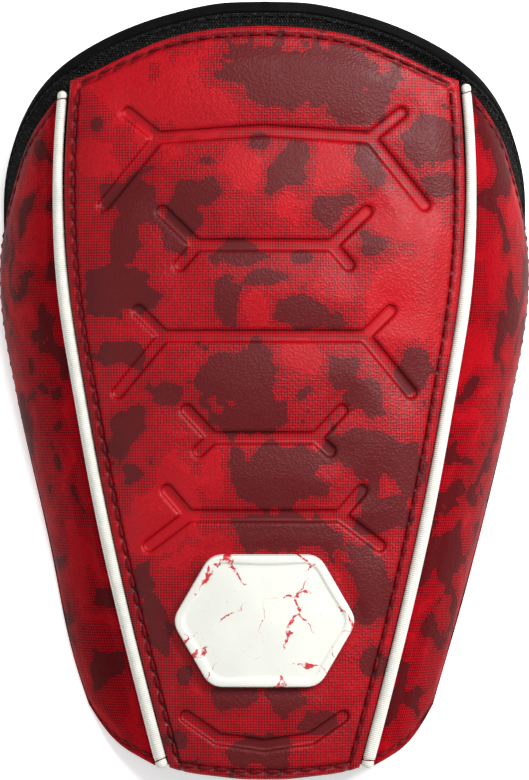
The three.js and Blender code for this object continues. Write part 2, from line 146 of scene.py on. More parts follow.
# The print's larger patches on the centre panel, in mm from its middle: x, y, half width, half height, tilt in
# degrees. Dark ones are solid, bright ones hold no dots, and dots fill the rest.
DARK_PATCHES = [
    (2, 78, 13, 8, 0), (17, 79, 10, 8, -10), (22, 71, 7, 6, 0), (29, 76, 5, 4, 10), (42, 63, 7, 6, 30),
    (44, 51, 4, 3, 0), (26, 56, 4, 6, 20), (6, 55, 5, 8, -20), (15, 45, 9, 4, 15), (9, 50, 3, 6, 0),
    (27, 37, 3, 6, 25), (9, 33, 3, 2, 0), (-33, 48, 7, 5, -30), (-20, 46, 4, 9, -25), (-15, 50, 5, 4, 0),
    (-35, 36, 4, 5, 0), (-6, 34, 8, 3, 0), (-23, 37, 3, 4, 30), (-28, 80, 2, 3, 0), (-42, 66, 2, 3, 0),
    (-2, 62, 3, 3, 0), (-12, 58, 4, 2, 20), (-37, 25, 8, 6, 10), (-9, 22, 3, 7, 0), (10, 19, 10, 4, -10),
    (0, 28, 5, 2, 0), (-36, 9, 5, 3, 0), (-5, 3, 11, 8, 20), (-3, -7, 10, 5, 0), (-24, -1, 4, 3, 0),
    (18, 5, 5, 4, 0), (38, 6, 4, 6, 0), (26, -2, 4, 5, 30), (-35, -11, 4, 7, -20), (-30, -22, 5, 5, 0),
    (2, -22, 11, 8, 0), (4, -36, 14, 5, 0), (27, -16, 11, 5, -15), (29, -31, 6, 5, 0), (37, -20, 4, 5, 0),
    (27, -49, 4, 8, 0), (27, -69, 3, 3, 0), (-27, -58, 3, 8, 10), (-30, -48, 3, 4, 0), (-8, -77, 5, 4, 0),
    (4, -77, 4, 4, 20), (-2, -91, 8, 4, 0), (13, -84, 5, 3, 0), (-20, -72, 2, 3, 0), (-22, -88, 3, 2, 0),
]
BRIGHT_PATCHES = [
    (-30, 76, 14, 8, -15), (-14, 70, 8, 6, 0), (-7, 57, 6, 5, 0), (17, 55, 5, 6, 0), (7, 46, 4, 5, 30),
    (34, 43, 12, 5, -10), (38, 27, 9, 7, 0), (-2, 20, 4, 4, 0), (10, 8, 6, 4, -10), (36, 17, 9, 6, 0),
    (-24, -28, 8, 13, 0), (-30, -37, 10, 5, 0), (-13, -22, 3, 6, 0), (-42, 58, 4, 5, 0), (-12, -40, 4, 4, 0),
]

# The stitching's inset from the centre panel's ends and from the wings' edges, the depth of the groove that it
# pulls into each, and its thread's height over the face
END_INSET, WING_INSET = 2.2 * MM, 2.5 * MM
CENTRE_GROOVE, WING_GROOVE = 0.62 * MM, 0.35 * MM
CENTRE_THREAD_HEIGHT, WING_THREAD_HEIGHT = -0.08 * MM, -0.18 * MM
RIM_PITCH, RIM_THREAD, STRAP_PITCH, STRAP_THREAD = 3.0 * MM, 0.45 * MM, 2.8 * MM, 0.5 * MM
# How far in from a cord's ends its ties are wound
TIE_INSET = 2.2 * MM
RIM_BLACK, STRAP_BLACK = (0.008, 0.008, 0.0082), (0.05, 0.05, 0.052)
# A tone that the finish shows as plain dark backing
PLAIN_BEHIND = {"tone": 4.0}

# The foam's swelling: pressure in the cloth, and the cap on its rise
CENTRE_FOAM, WING_FOAM = (35.0, 1.1 * MM), (6.0, 1.4 * MM)
# The cloth's settings suit a pad this many times the guard's size
ENLARGED = 20.0
CLOTH_FRAMES = 20
CLOTH_SETTINGS = {
    "quality": 4,
    "mass": 0.3,
    "air_damping": 1.0,
    "tension_stiffness": 20.0,
    "compression_stiffness": 20.0,
    "shear_stiffness": 8.0,
    "bending_stiffness": 0.6,
    "use_pressure": True,
    "vertex_group_mass": "held",
}

# The badge from its foot over its border to its middle: mm in from the outline, share of its thickness
BADGE_PROFILE = [
    (-0.25, -0.05), (-0.1, 0.05), (0.0, 0.25), (0.05, 0.7), (0.1, 0.86), (0.25, 0.95), (0.55, 1.0), (1.0, 1.0),
    (1.6, 1.0), (2.0, 0.97), (2.25, 0.88), (2.45, 0.80), (2.8, 0.78), (3.6, 0.79), (5.0, 0.81), (7.0, 0.84),
    (10.0, 0.87), (13.0, 0.89),
]
BADGE_MIDDLE = 0.9
BADGE_CORNER = 3.2 * MM

# Each light: name, place, what it points at, size, watts
LIGHTS = [
    ("key", (0.50, 0.18, 0.57), (0.0, 0.0, 0.03), 0.28, 7.5),
    ("top_glow", (0.06, 0.14, 0.62), (0.02, 0.05, 0.05), 0.15, 1.5),
    ("left_fill", (-0.9, -0.5, 0.8), (0.0, 0.0, 0.03), 0.8, 2.5),
]
WORLD_STRENGTH = 0.42
FLOOR_HALF, FLOOR_HEIGHT = 2.0, -0.2 * MM
CAMERA_LENS, CAMERA_DISTANCE = 221.4, 1.2
CAMERA_AIM = (0.0, -0.2 * MM, 0.0)


def metres(name, description, millimetres):
    """A length that the sidebar shows in the scene's own unit."""
    return bpy.props.FloatProperty(
        name=name, description=description, default=millimetres * MM, min=0.0, precision=5, unit="LENGTH"
    )


def colour(name, description, *rgb):
    """A linear colour without alpha."""
    return bpy.props.FloatVectorProperty(
        name=name, description=description, default=rgb, size=3, min=0.0, max=1.0, subtype="COLOR"
    )


class GuardSizes(bpy.types.PropertyGroup):
    """Sizes of the guard, the same as the CAD source's."""

    guard_length: metres("Guard length", "From the lining's rim to the forearm end, along the face", 196.5)
    seam_width: metres("Seam width", "Between the two corded seams at the widest", 105.6)
    rear_width: metres("Rear width", "Across the rear edges at the widest", 137)
    elbow_depth: metres("Elbow depth", "Face plane to the rear edge at the elbow end", 52)
    forearm_depth: metres("Forearm depth", "Face plane to the rear edge at the forearm end", 21)
    crown_radius: metres("Crown radius", "Of the centre panel from side to side", 115)
    elbow_bow: metres("Elbow bow", "How far the face curves back at the elbow end", 6)
    forearm_bow: metres("Forearm bow", "How far the face curves back at the forearm end", 3)
    shell: metres("Shell", "Cover and its bonded foam", 3.6)
    lining: metres("Lining", "Knitted lining and its padding", 4.2)
    lining_edge: metres("Lining edge", "The lining where its sewing pinches it", 2.6)
    pinch_run: metres("Pinch run", "How far in from an edge the pinch reaches", 9)
    rim_flare: metres("Rim flare", "How far the lining's rim stands out past the cover", 4.6)
    edge_roll: metres("Edge roll", "How far a panel's face rolls down at its edge", 1.1)
    roll_run: metres("Roll run", "How far in from the edge the roll starts", 2.4)
    piping: metres("Piping", "Diameter of the seam cord", 3.0)
    piping_sink: metres("Piping sink", "Centre of the cord below the face", 1.0)
    binding_width: metres("Binding width", "Of the tape round the elbow rim", 2.6)
    binding_proud: metres("Binding proud", "How far the tape stands over the lining", 0.5)
    channel_width: metres("Channel width", "Of the pressed flex channels", 3.1)
    channel_depth: metres("Channel depth", "Of the pressed flex channels", 1.1)
    puff: metres("Puff", "How far the foam swells between channels and seams", 0.6)
    stitch_pitch: metres("Stitch pitch", "From one needle hole to the next", 4.2)
    thread: metres("Thread", "Diameter of the sewing thread", 0.85)
    stitch_inset: metres("Stitch inset", "Side stitching in from the corded seam", 2.9)
    badge_length: metres("Badge length", "Corner to corner across the guard", 46)
    badge_height: metres("Badge height", "Flat to flat along the guard", 33)
    badge_thickness: metres("Badge thickness", "Of the moulded plate", 1.8)
    badge_inset: metres("Badge inset", "Its centre from the forearm end", 40.25)
    strap_thickness: metres("Strap thickness", "Of the woven elastic", 1.8)
    upper_strap_width: metres("Upper strap width", "Of the strap near the elbow", 38)
    upper_strap_inset: metres("Upper strap inset", "Its centre line from the elbow end", 86.25)
    lower_strap_width: metres("Lower strap width", "Of the strap near the wrist", 30)
    lower_strap_inset: metres("Lower strap inset", "Its centre line from the forearm end", 43.25)
    gap: metres("Gap", "Between neighbouring pieces", 0.3)
    strap_lap: bpy.props.FloatProperty(
        name="Strap lap", description="How high a sewn strap end reaches up the wing's inner wall", default=0.75
    )
    strap_bend: bpy.props.FloatProperty(
        name="Strap bend", description="How high the strap is free, to turn on to the table", default=0.28
    )


class GuardColours(bpy.types.PropertyGroup):
    """Colours and print of the guard."""

    bright_red: colour("Bright red", "Ground of the print", 0.37, 0.0022, 0.0075)
    dot_red: colour("Dot red", "Dots of the print", 0.085, 0.0028, 0.005)
    dark_red: colour("Dark red", "Solid patches of the print", 0.085, 0.0050, 0.0065)
    thread_red: colour("Thread red", "Stitching on the cover", 0.12, 0.0035, 0.007)
    cord_white: colour("Cord white", "Piping in the seams", 0.66, 0.66, 0.60)
    knit_black: colour("Knit black", "Lining", 0.0085, 0.0083, 0.0082)
    tape_black: colour("Tape black", "Binding of the elbow rim", 0.0038, 0.0038, 0.0039)
    rubber_white: colour("Rubber white", "Badge plate", 0.64, 0.645, 0.59)
    vein_red: colour("Vein red", "Marbling of the badge plate", 0.45, 0.02, 0.03)
    elastic_black: colour("Elastic black", "Straps", 0.028, 0.029, 0.029)
    dot_pitch: bpy.props.FloatProperty(
        name="Dot pitch", description="Spacing of the printed dots in millimetres", default=0.70, min=0.1
    )


class SmoothTable:
    """The smooth curve through a table's rows that the CAD source draws, for whole arrays at once."""

    def __init__(self, rows):
        table = np.array(rows, float)
        self.places, self.values = table[:, 0], table[:, 1:]

    def __call__(self, place):
        x, last = self.places, len(self.places) - 1
        t = np.clip(np.asarray(place, float), x[0], x[-1])
        i = np.clip(np.searchsorted(x, t, side="right"), 1, last)
        has_before, has_after = i >= 2, i < last
        before, after = np.where(has_before, i - 2, i), np.where(has_after, np.minimum(i + 1, last), i - 1)
        start, end = x[i - 1], x[i]
        half = (end - start) / 2
        pull_before = half / (start - x[before])
        pull_after = half / (x[after] - end)
        p = (t - start) / (end - start)
        weights = (
            pull_before * (-p**3 + 2 * p**2 - p),
            (1 + pull_before) * p**3 - (1.5 + 2 * pull_before) * p**2 + (pull_before - 0.5) * p + 1,
            -(1 + pull_after) * p**3 + (1.5 + pull_after) * p**2 + 0.5 * p,
            pull_after * (p**3 - p**2),
        )
        rows = (before, i - 1, i, after)
        return sum(w[..., None] * self.values[row] for w, row in zip(weights, rows))


def cut_by_table(points):
    """The same points, with any that reach below the table set on it."""
    points[..., 2] = np.maximum(points[..., 2], 0)
    return points


def smoothstep(value, low, high):
    share = np.clip((value - low) / (high - low), 0, 1)
    return share * share * (3 - 2 * share)


def lerp(start, end, share):
    return start + (end - start) * share


def unit(vectors):
    return vectors / np.linalg.norm(vectors, axis=-1, keepdims=True)


def run_along(points):
    """Length along rows of points, from each row's first one."""
    return np.cumsum(np.linalg.norm(np.diff(points, axis=-2, prepend=points[..., :1, :]), axis=-1), axis=-1)


def bend(start, knee, end, share):
    """A curve that leaves its start and meets its end in the direction of the knee."""
    return (1 - share) ** 2 * start + 2 * share * (1 - share) * knee + share**2 * end


def crossing(is_before, low, high):
    """Where is_before turns false between low and high, found by halving, for whole arrays."""
    for _ in range(26):
        middle = (low + high) / 2
        before = is_before(middle)
        low, high = np.where(before, middle, low), np.where(before, high, middle)
    return low


class GuardShape:
    """The guard's face and layers. Places across run from 0 at the crest over 1 at a seam to 2 at the rear edge."""

    def __init__(self, sizes):
        self.sizes = sizes
        self.half_length = sizes.guard_length / 2
        self.half_seam = sizes.seam_width / 2
        self.half_rear = sizes.rear_width / 2
        self.lining_face = sizes.shell + sizes.gap
        self.slope = (sizes.elbow_depth - sizes.forearm_depth) / ((REAR_START - REAR_END) * self.half_length)
        self.lean = math.atan(self.slope)
        self.section = SmoothTable(SECTIONS)
        self.rim = SmoothTable(RIM_EDGE)
        self.panel_edges = SmoothTable(PANEL_EDGES)
        self.wing_edges = SmoothTable(WING_EDGES)
        self.shift = 0.0
        across, y = self.panel_place(np.linspace(-1, 1, 65), 0.0)
        lowest = self.laid_at(across, y, -sizes.edge_roll)[:, 1].min()
        self.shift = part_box("centre_panel")[0].y - lowest

    def rear_depth(self, y):
        return self.sizes.forearm_depth + self.slope * (y - REAR_END * self.half_length)

    def crest_depth(self, y):
        share = y / self.half_length
        return share * share * np.where(y > 0, self.sizes.elbow_bow, self.sizes.forearm_bow)

    def face_point(self, across, y):
        across, y = np.broadcast_arrays(np.asarray(across, float), np.asarray(y, float))
        section = self.section(y / self.half_length)
        seam, rear, turn = section[..., 0] * self.half_seam, section[..., 1] * self.half_rear, section[..., 2]
        crest, reach = self.crest_depth(y), np.abs(across)
        diameter = 2 * self.sizes.crown_radius
        seam_depth = crest + seam**2 / diameter
        share, beyond = np.clip(reach - 1, 0, 1), np.maximum(reach - 2, 0)
        bend = 2 * share * (1 - share)
        out = (rear - seam) * (bend * turn + share**2 + 2 * beyond * (1 - turn))
        drop = self.rear_depth(y) - seam_depth
        down = drop * (bend * WING_DROP + share**2 + 2 * beyond * (1 - WING_DROP))
        inner = reach <= 1
        x = np.where(inner, reach * seam, seam + out)
        z = np.where(inner, -crest - (reach * seam) ** 2 / diameter, -seam_depth - down)
        return np.stack([np.sign(across) * x, y, z], -1)

    def face_normal(self, across, y):
        along_across = self.face_point(across + 0.05, y) - self.face_point(across - 0.05, y)
        along_length = self.face_point(across, y + MM) - self.face_point(across, y - MM)
        return unit(np.cross(along_across, along_length))

    def offset_point(self, across, y, offset):
        across, y, offset = np.broadcast_arrays(*(np.asarray(v, float) for v in (across, y, offset)))
        return self.face_point(across, y) + self.face_normal(across, y) * offset[..., None]

    def across_scale(self, across, y):
        return np.linalg.norm(self.face_point(across + 0.01, y) - self.face_point(across, y), axis=-1) / 0.01

    def seam_clearance(self, y):
        cosine = np.sum(self.face_normal(0.94, y) * self.face_normal(1.06, y), axis=-1)
        turn = np.arccos(np.clip(cosine, -1, 1))
        return self.sizes.piping / 2 + self.sizes.gap + self.sizes.piping_sink * np.sin(turn / 2)

    def panel_place(self, share, height):
        """Place across and along of the centre panel, which stops short of the cord."""
        edges = self.panel_edges(np.abs(share)) * self.half_length
        y = lerp(edges[..., 1], edges[..., 0], height)
        return share * (1 - self.seam_clearance(y) / self.across_scale(0.98, y)), y

    def wing_place(self, column, row, reach):
        """Place across and along of a wing, from beside the cord to past the table."""
        nominal = 1 + column * (REAR_OVERRUN - 1)
        edges = self.wing_edges(nominal)
        top = edges[..., 0] + reach * (1 - 0.6 * smoothstep(nominal, 1.5, 2.0))
        y = lerp(edges[..., 1], top, row) * self.half_length
        start = 1 + self.seam_clearance(y) / self.across_scale(1.0, y)
        return lerp(start, REAR_OVERRUN, column), y

    def wing_foot(self, row, reach, offset):
        """The column at which a wing meets the table, for that depth of the wing."""
        above = lambda column: self.above_table(self.offset_point(*self.wing_place(column, row, reach), offset))
        return crossing(above, np.full_like(row, 0.5), np.ones_like(row))

    def cover_top(self, reach):
        wing = self.wing_edges(reach)[..., 0] + RIGHT_REACH
        edges = np.where(reach <= 1, self.panel_edges(reach)[..., 0], wing)
        return edges * self.half_length

    def lining_ends(self, across):
        reach = np.minimum(np.abs(across), 2)
        bottom = np.where(reach < 1, self.panel_edges(reach)[..., 1], self.wing_edges(reach)[..., 1])
        near, far = np.maximum(reach - 0.01, 0), np.minimum(reach + 0.01, 2)
        rim = self.rim(reach)[..., 0] * self.half_length
        fall = (self.rim(near)[..., 0] - self.rim(far)[..., 0]) * self.half_length
        slant = np.hypot(1, fall / ((far - near) * self.across_scale(reach, rim)))
        gap = self.sizes.gap
        return bottom * self.half_length + 2 * gap, rim - (self.sizes.binding_width + gap) * slant

    def rim_lift(self, across, y):
        reach = np.minimum(np.abs(across), 2)
        top = self.lining_ends(across)[1]
        flare = self.rim(reach)[..., 1]
        return self.sizes.rim_flare * flare * smoothstep(y, self.cover_top(reach) + 2 * self.sizes.gap, top)

    def lining_thickness(self, across, y):
        reach = np.minimum(np.abs(across), 2)
        bottom, top = self.lining_ends(across)
        to_rear = (2 - reach) * self.across_scale(reach, y)
        inward = np.clip(np.minimum(np.minimum(to_rear, top - y), y - bottom) / self.sizes.pinch_run, 0, 1)
        return lerp(self.sizes.lining_edge, self.sizes.lining, 1 - (1 - inward) ** 2)

    def lining_point(self, across, y, lift=0.0, share=1.0):
        """A point of the lining's inner side, or with share 0 of its face against the cover."""
        depth = self.lining_face + share * self.lining_thickness(across, y) + lift
        return self.offset_point(across, y, self.rim_lift(across, y) - depth)

    def rim_ease(self, across, share):
        """How far the lining's edge moves so that its rim is one smooth arc over the seams."""
        step, spread_steps, spread_width = 0.01, 60, 0.15
        places = np.linspace(-2.3, 2.3, 461)
        edge = self.lining_point(places, self.lining_ends(places)[1], 0.0, share)
        spread_by = np.exp(-0.5 * (np.arange(-spread_steps, spread_steps + 1) * step / spread_width) ** 2)
        spread_by /= spread_by.sum()
        padded = np.pad(edge, ((spread_steps, spread_steps), (0, 0)), mode="reflect", reflect_type="odd")
        eased = np.stack([np.convolve(padded[:, k], spread_by, "valid") for k in range(3)], -1)
        keep = smoothstep(np.abs(places), 0.2, 0.5) * (1 - smoothstep(np.abs(places), 1.5, 1.9))
        moved = (eased - edge) * keep[:, None]
        return np.stack([np.interp(across, places, moved[:, k]) for k in range(3)], -1)

    def laid_direction(self, vectors):
        x, y, z = np.moveaxis(vectors, -1, 0)
        cos, sin = math.cos(self.lean), math.sin(self.lean)
        return np.stack([x, y * cos - z * sin, y * sin + z * cos], -1)

    def laid(self, points):
        """The same points with the guard lying on the table."""
        return self.laid_direction(points) + np.array([0, self.shift, self.rear_depth(0.0) * math.cos(self.lean)])

    def laid_at(self, across, y, offset):
        return self.laid(self.offset_point(across, y, offset))

    def laid_normal(self, across, y):
        return self.laid_direction(self.face_normal(across, y))

    def above_table(self, points):
        return points[..., 2] > -self.rear_depth(points[..., 1])

    def across_of(self, x, y):
        """Place across of a point of the centre panel seen in plan."""
        return x / (self.section(y / self.half_length)[..., 0] * self.half_seam)


# Meshes


def spread(steps, run, edge_steps=5):
    """Shares from 0 to 1, crowded within run of both ends."""
    edge = run * (1 - np.cos(np.linspace(0, np.pi / 2, edge_steps + 1)))[:-1]
    return np.concatenate([edge, np.linspace(run, 1 - run, steps + 1), 1 - edge[::-1]])


def bare_object(name, vertices, faces):
    """A mesh with its faces turned outwards, without a finish."""
    mesh = bpy.data.meshes.new(name)
    mesh.from_pydata(np.asarray(vertices).reshape(-1, 3).tolist(), [], faces)
    surface = bmesh.new()
    surface.from_mesh(mesh)
    bmesh.ops.recalc_face_normals(surface, faces=surface.faces)
    surface.to_mesh(mesh)
    surface.free()
    piece = bpy.data.objects.new(name, mesh)
    bpy.context.scene.collection.objects.link(piece)
    return piece


def mesh_object(name, vertices, faces, finish, attributes=None, sharp=60):
    """A finished mesh with values at its points, smooth but for edges sharper than an angle in degrees."""
    piece = bare_object(name, vertices, faces)
    mesh = piece.data
    mesh.shade_smooth()
    mesh.set_sharp_from_angle(angle=math.radians(sharp))
    for key, values in (attributes or {}).items():
        kind, field = ("FLOAT_VECTOR", "vector") if np.ndim(values) == 2 else ("FLOAT", "value")
        mesh.attributes.new(key, kind, "POINT").data.foreach_set(field, np.asarray(values, np.float32).ravel())
    mesh.materials.append(finish)
    return piece


def grid_faces(rows, columns, start=0, wrap=False):
    across = columns if wrap else columns - 1
    j, i = np.meshgrid(np.arange(rows - 1), np.arange(across), indexing="ij")
    near, far = start + j * columns + i, start + j * columns + (i + 1) % columns
    return np.stack([near, far, far + columns, near + columns], -1).reshape(-1, 4).tolist()


def pad_faces(rows, columns, step):
    """Faces of a closed pad with a fine front, a back of every step-th row and column, and walls between."""
    keep_rows = np.unique(np.append(np.arange(0, rows, step), rows - 1))
    keep_columns = np.unique(np.append(np.arange(0, columns, step), columns - 1))
    front = lambda j, i: int(j * columns + i)
    back = lambda j, i: int(rows * columns + j * len(keep_columns) + i)
    faces = grid_faces(rows, columns) + grid_faces(len(keep_rows), len(keep_columns), rows * columns)
    last_row, last_column = len(keep_rows) - 1, len(keep_columns) - 1
    for coarse, fine in ((0, 0), (last_row, rows - 1)):
        for i, (start, end) in enumerate(zip(keep_columns, keep_columns[1:])):
            faces.append([front(fine, k) for k in range(start, end + 1)] + [back(coarse, i + 1), back(coarse, i)])
    for coarse, fine in ((0, 0), (last_column, columns - 1)):
        for j, (start, end) in enumerate(zip(keep_rows, keep_rows[1:])):
            faces.append([front(k, fine) for k in range(start, end + 1)] + [back(j + 1, coarse), back(j, coarse)])
    return faces, np.ix_(keep_rows, keep_columns)


def pad_object(name, front, back, finish, step, attributes, sharp, behind=()):
    """A closed pad whose attributes are the front's, or behind it the value that behind gives."""
    faces, kept = pad_faces(*front.shape[:2], step)
    vertices = np.concatenate([front.reshape(-1, 3), back[kept].reshape(-1, 3)])
    joined = {}
    for key, values in attributes.items():
        rear = np.full_like(values[kept], behind[key]) if key in behind else values[kept]
        joined[key] = np.concatenate([values.reshape(-1, *values.shape[2:]), rear.reshape(-1, *values.shape[2:])])
    return mesh_object(name, vertices, faces, finish, joined, sharp)


def tube_object(name, rings, finish, fabric, sharp):
    """A closed tube through rings of points, with a flat face at each end."""
    count, sides = rings.shape[:2]
    faces = grid_faces(count, sides, wrap=True)
    faces += [list(range(sides)), list(range((count - 1) * sides, count * sides))]
    return mesh_object(name, rings, faces, finish, {"fabric": fabric.reshape(-1, 3)}, sharp)


def circles(ahead, up, sides):
    """Circles of radius 1 square to the ways ahead, each with its first point upwards."""
    side = unit(np.cross(ahead, up))
    top = np.cross(side, ahead)
    angle = np.linspace(0, 2 * np.pi, sides, endpoint=False)[:, None]
    return np.cos(angle) * top[:, None] + np.sin(angle) * side[:, None]


def fabric_place(u, v, layer=0.0):
    """Place on the flat cloth in millimetres, which the finishes' patterns follow."""
    u, v = np.broadcast_arrays(u, v)
    return np.stack([u, v, np.full(u.shape, layer)], -1)


def stitches_object(name, starts, ends, normals, thread, finish, arch=0.3 * MM):
    """Separate stitches of round thread, each arched between two needle holes, as one mesh."""
    sides, steps = 8, 7
    share = np.linspace(0, 1, steps)
    swell = np.sqrt(np.clip(np.sin(np.pi * (0.06 + 0.88 * share)), 0, 1))
    centres = lerp(starts[:, None], ends[:, None], share[None, :, None])
    centres = centres + normals[:, None] * (arch * (np.sin(np.pi * share) - 0.45))[None, :, None]
    circle = circles(unit(ends - starts), normals, sides)
    rings = centres[:, :, None] + circle[:, None] * (thread / 2 * swell)[None, :, None, None]
    faces = []
    for k in range(len(starts)):
        base = k * steps * sides
        faces += grid_faces(steps, sides, base, wrap=True)
        faces += [list(range(base, base + sides)), list(range(base + (steps - 1) * sides, base + steps * sides))]
    along = np.broadcast_to(share[None, :, None], rings.shape[:3]).ravel()
    return mesh_object(name, rings, faces, finish, {"along": along}, sharp=80)


def resampled(points, pitch):
    """Rows along a path that are a whole number of equal steps apart, near the pitch. A row starts with its point."""
    run = run_along(points[:, :3])
    count = max(int(round(run[-1] / pitch)), 1)
    where = np.linspace(0, run[-1], count + 1)
    return np.stack([np.interp(where, run, points[:, k]) for k in range(points.shape[1])], -1)


def stitch_spans(points, normals, cover=0.12):
    """Starts, ends and normals of the stitches from each needle hole to the next, with that share of cover between."""
    start, end = points[:-1], points[1:]
    return [lerp(start, end, cover), lerp(start, end, 1 - cover), unit(normals[:-1] + normals[1:])]


def even_spans(points, normals, pitch):
    """The same for needle holes that are set evenly along a path."""
    marks = resampled(np.concatenate([points, normals], 1), pitch)
    return stitch_spans(marks[:, :3], marks[:, 3:])


def sewn_line(shape, places, height, pitch):
    """Stitches along a path of places (across, y) at a height over the face."""
    points = shape.laid_at(places[:, 0], places[:, 1], height)
    holes = resampled(np.concatenate([points, places], 1), pitch)
    normals = shape.laid_normal(holes[:, 3], holes[:, 4])
    return stitch_spans(holes[:, :3], normals, 0.13)


def joined_lines(lines):
    return [np.concatenate(parts) for parts in zip(*lines)]


def mirrored(arrays):
    return [a * MIRROR for a in arrays]


def foam_swell(front, back, held, cap, pressure):
    """How far the front of a closed pad rises when cloth swells over its foam between held points.

    The pad is a coarse and enlarged copy. Its back and its held points are pinned, gravity is off, and the rise is
    capped."""
    front, back = front * ENLARGED, back * ENLARGED
    rows, columns = held.shape
    start = np.concatenate([front.reshape(-1, 3), back.reshape(-1, 3)])
    pad = bare_object("swelling", start, pad_faces(rows, columns, 1)[0])
    pins = np.flatnonzero(held.ravel()).tolist() + list(range(rows * columns, 2 * rows * columns))
    pad.vertex_groups.new(name="held").add(pins, 1.0, "REPLACE")
    cloth = pad.modifiers.new("swell", "CLOTH")
    for key, value in CLOTH_SETTINGS.items():
        setattr(cloth.settings, key, value)
    cloth.settings.uniform_pressure_force = pressure
    cloth.settings.effector_weights.gravity = 0.0
    cloth.collision_settings.use_collision = False
    cloth.point_cache.frame_end = CLOTH_FRAMES
    for number in range(1, CLOTH_FRAMES + 1):
        bpy.context.scene.frame_set(number)
    swelled = pad.evaluated_get(bpy.context.evaluated_depsgraph_get()).data
    points = np.empty(start.size)
    swelled.vertices.foreach_get("co", points)
    moved = (points.reshape(-1, 3) - start)[: rows * columns].reshape(rows, columns, 3)
    outward = unit(np.cross(np.gradient(front, axis=1), np.gradient(front, axis=0)))
    mesh = pad.data
    bpy.data.objects.remove(pad)
    bpy.data.meshes.remove(mesh)
    bpy.context.scene.frame_set(1)
    rise = np.sum(moved * outward, axis=-1) / ENLARGED
    return cap * np.tanh(rise / cap)


def between_points(grid, row_share, column_share):
    """Smoothly read values of an even grid at shares of its height and width."""
    rows, columns = grid.shape
    j, i = np.clip(row_share, 0, 1) * (rows - 1), np.clip(column_share, 0, 1) * (columns - 1)
    j0, i0 = np.minimum(j.astype(int), rows - 2), np.minimum(i.astype(int), columns - 2)
    v, u = smoothstep(j - j0, 0, 1) * 0.5 + (j - j0) * 0.5, smoothstep(i - i0, 0, 1) * 0.5 + (i - i0) * 0.5
    near = lerp(grid[j0, i0], grid[j0, i0 + 1], u)
    return lerp(near, lerp(grid[j0 + 1, i0], grid[j0 + 1, i0 + 1], u), v)


# Finishes


class Finish:
    """A procedural material that is put together node by node round one Principled surface."""

    def __init__(self, name, **sockets):
        self.material = bpy.data.materials.new(name)
        self.material.use_nodes = True
        self.tree = self.material.node_tree
        self.tree.nodes.clear()
        output = self.tree.nodes.new("ShaderNodeOutputMaterial")
        self.surface = self.tree.nodes.new("ShaderNodeBsdfPrincipled")
        self.tree.links.new(self.surface.outputs["BSDF"], output.inputs["Surface"])
        for socket, value in sockets.items():
            self.feed(self.surface.inputs[socket.replace("_", " ")], value)

    def feed(self, socket, value):
        if isinstance(value, bpy.types.NodeSocket):
            self.tree.links.new(value, socket)
        else:
            socket.default_value = (*value, 1.0) if socket.type == "RGBA" and len(value) == 3 else value

    def node(self, kind, output, inputs, **settings):
        node = self.tree.nodes.new(kind)
        for key, value in settings.items():
            setattr(node, key, value)
        for key, value in inputs.items():
            self.feed(node.inputs[key], value)
        return node.outputs[output]

    def math(self, operation, *values):
        return self.node("ShaderNodeMath", 0, dict(enumerate(values)), operation=operation)

    def plus(self, first, second):
        return self.math("ADD", first, second)

    def times(self, first, second):
        return self.math("MULTIPLY", first, second)

    def ramp(self, value, low, high, start=0.0, end=1.0):
        limits = {"Value": value, "From Min": low, "From Max": high, "To Min": start, "To Max": end}
        return self.node("ShaderNodeMapRange", "Result", limits, interpolation_type="SMOOTHSTEP")

    def mix(self, share, first, second):
        return self.node("ShaderNodeMix", 2, {0: share, 6: first, 7: second}, data_type="RGBA")

    def attribute(self, name, output="Fac"):
        return self.node("ShaderNodeAttribute", output, {}, attribute_name=name)

    def noise(self, vector, size, detail=2.0, roughness=0.5, distortion=0.0):
        """Noise whose patches are about size across, in the vector's own unit."""
        inputs = {"Vector": vector, "Scale": 1 / size, "Detail": detail, "Roughness": roughness}
        return self.node("ShaderNodeTexNoise", "Fac", {**inputs, "Distortion": distortion})

    def cells(self, vector, size, feature):
        return self.node("ShaderNodeTexVoronoi", "Distance", {"Vector": vector, "Scale": 1 / size}, feature=feature)

    def cloth(self):
        """Place on the cloth as a vector, across the cloth and along it, in millimetres."""
        vector = self.attribute("fabric", "Vector")
        node = self.tree.nodes.new("ShaderNodeSeparateXYZ")
        self.tree.links.new(vector, node.inputs[0])
        return vector, node.outputs[0], node.outputs[1]

    def vector(self, operation, first, second):
        return self.node("ShaderNodeVectorMath", 0, {0: first, 1: second}, operation=operation)

    def wave(self, value, pitch):
        """A cosine from -1 to 1 with that pitch."""
        return self.math("COSINE", self.times(value, 2 * math.pi / pitch))

    def bump(self, height, strength, distance, normal=None):
        inputs = {"Height": height, "Strength": strength, "Distance": distance}
        if normal is not None:
            inputs["Normal"] = normal
        return self.node("ShaderNodeBump", 0, inputs)

    def dress(self, colour, rough, relief):
        for socket, value in (("Base Color", colour), ("Roughness", rough), ("Normal", relief)):
            if value is not None:
                self.feed(self.surface.inputs[socket], value)
        return self.material


def shaded(rgb, share):
    return tuple(min(share * part, 1.0) for part in rgb)


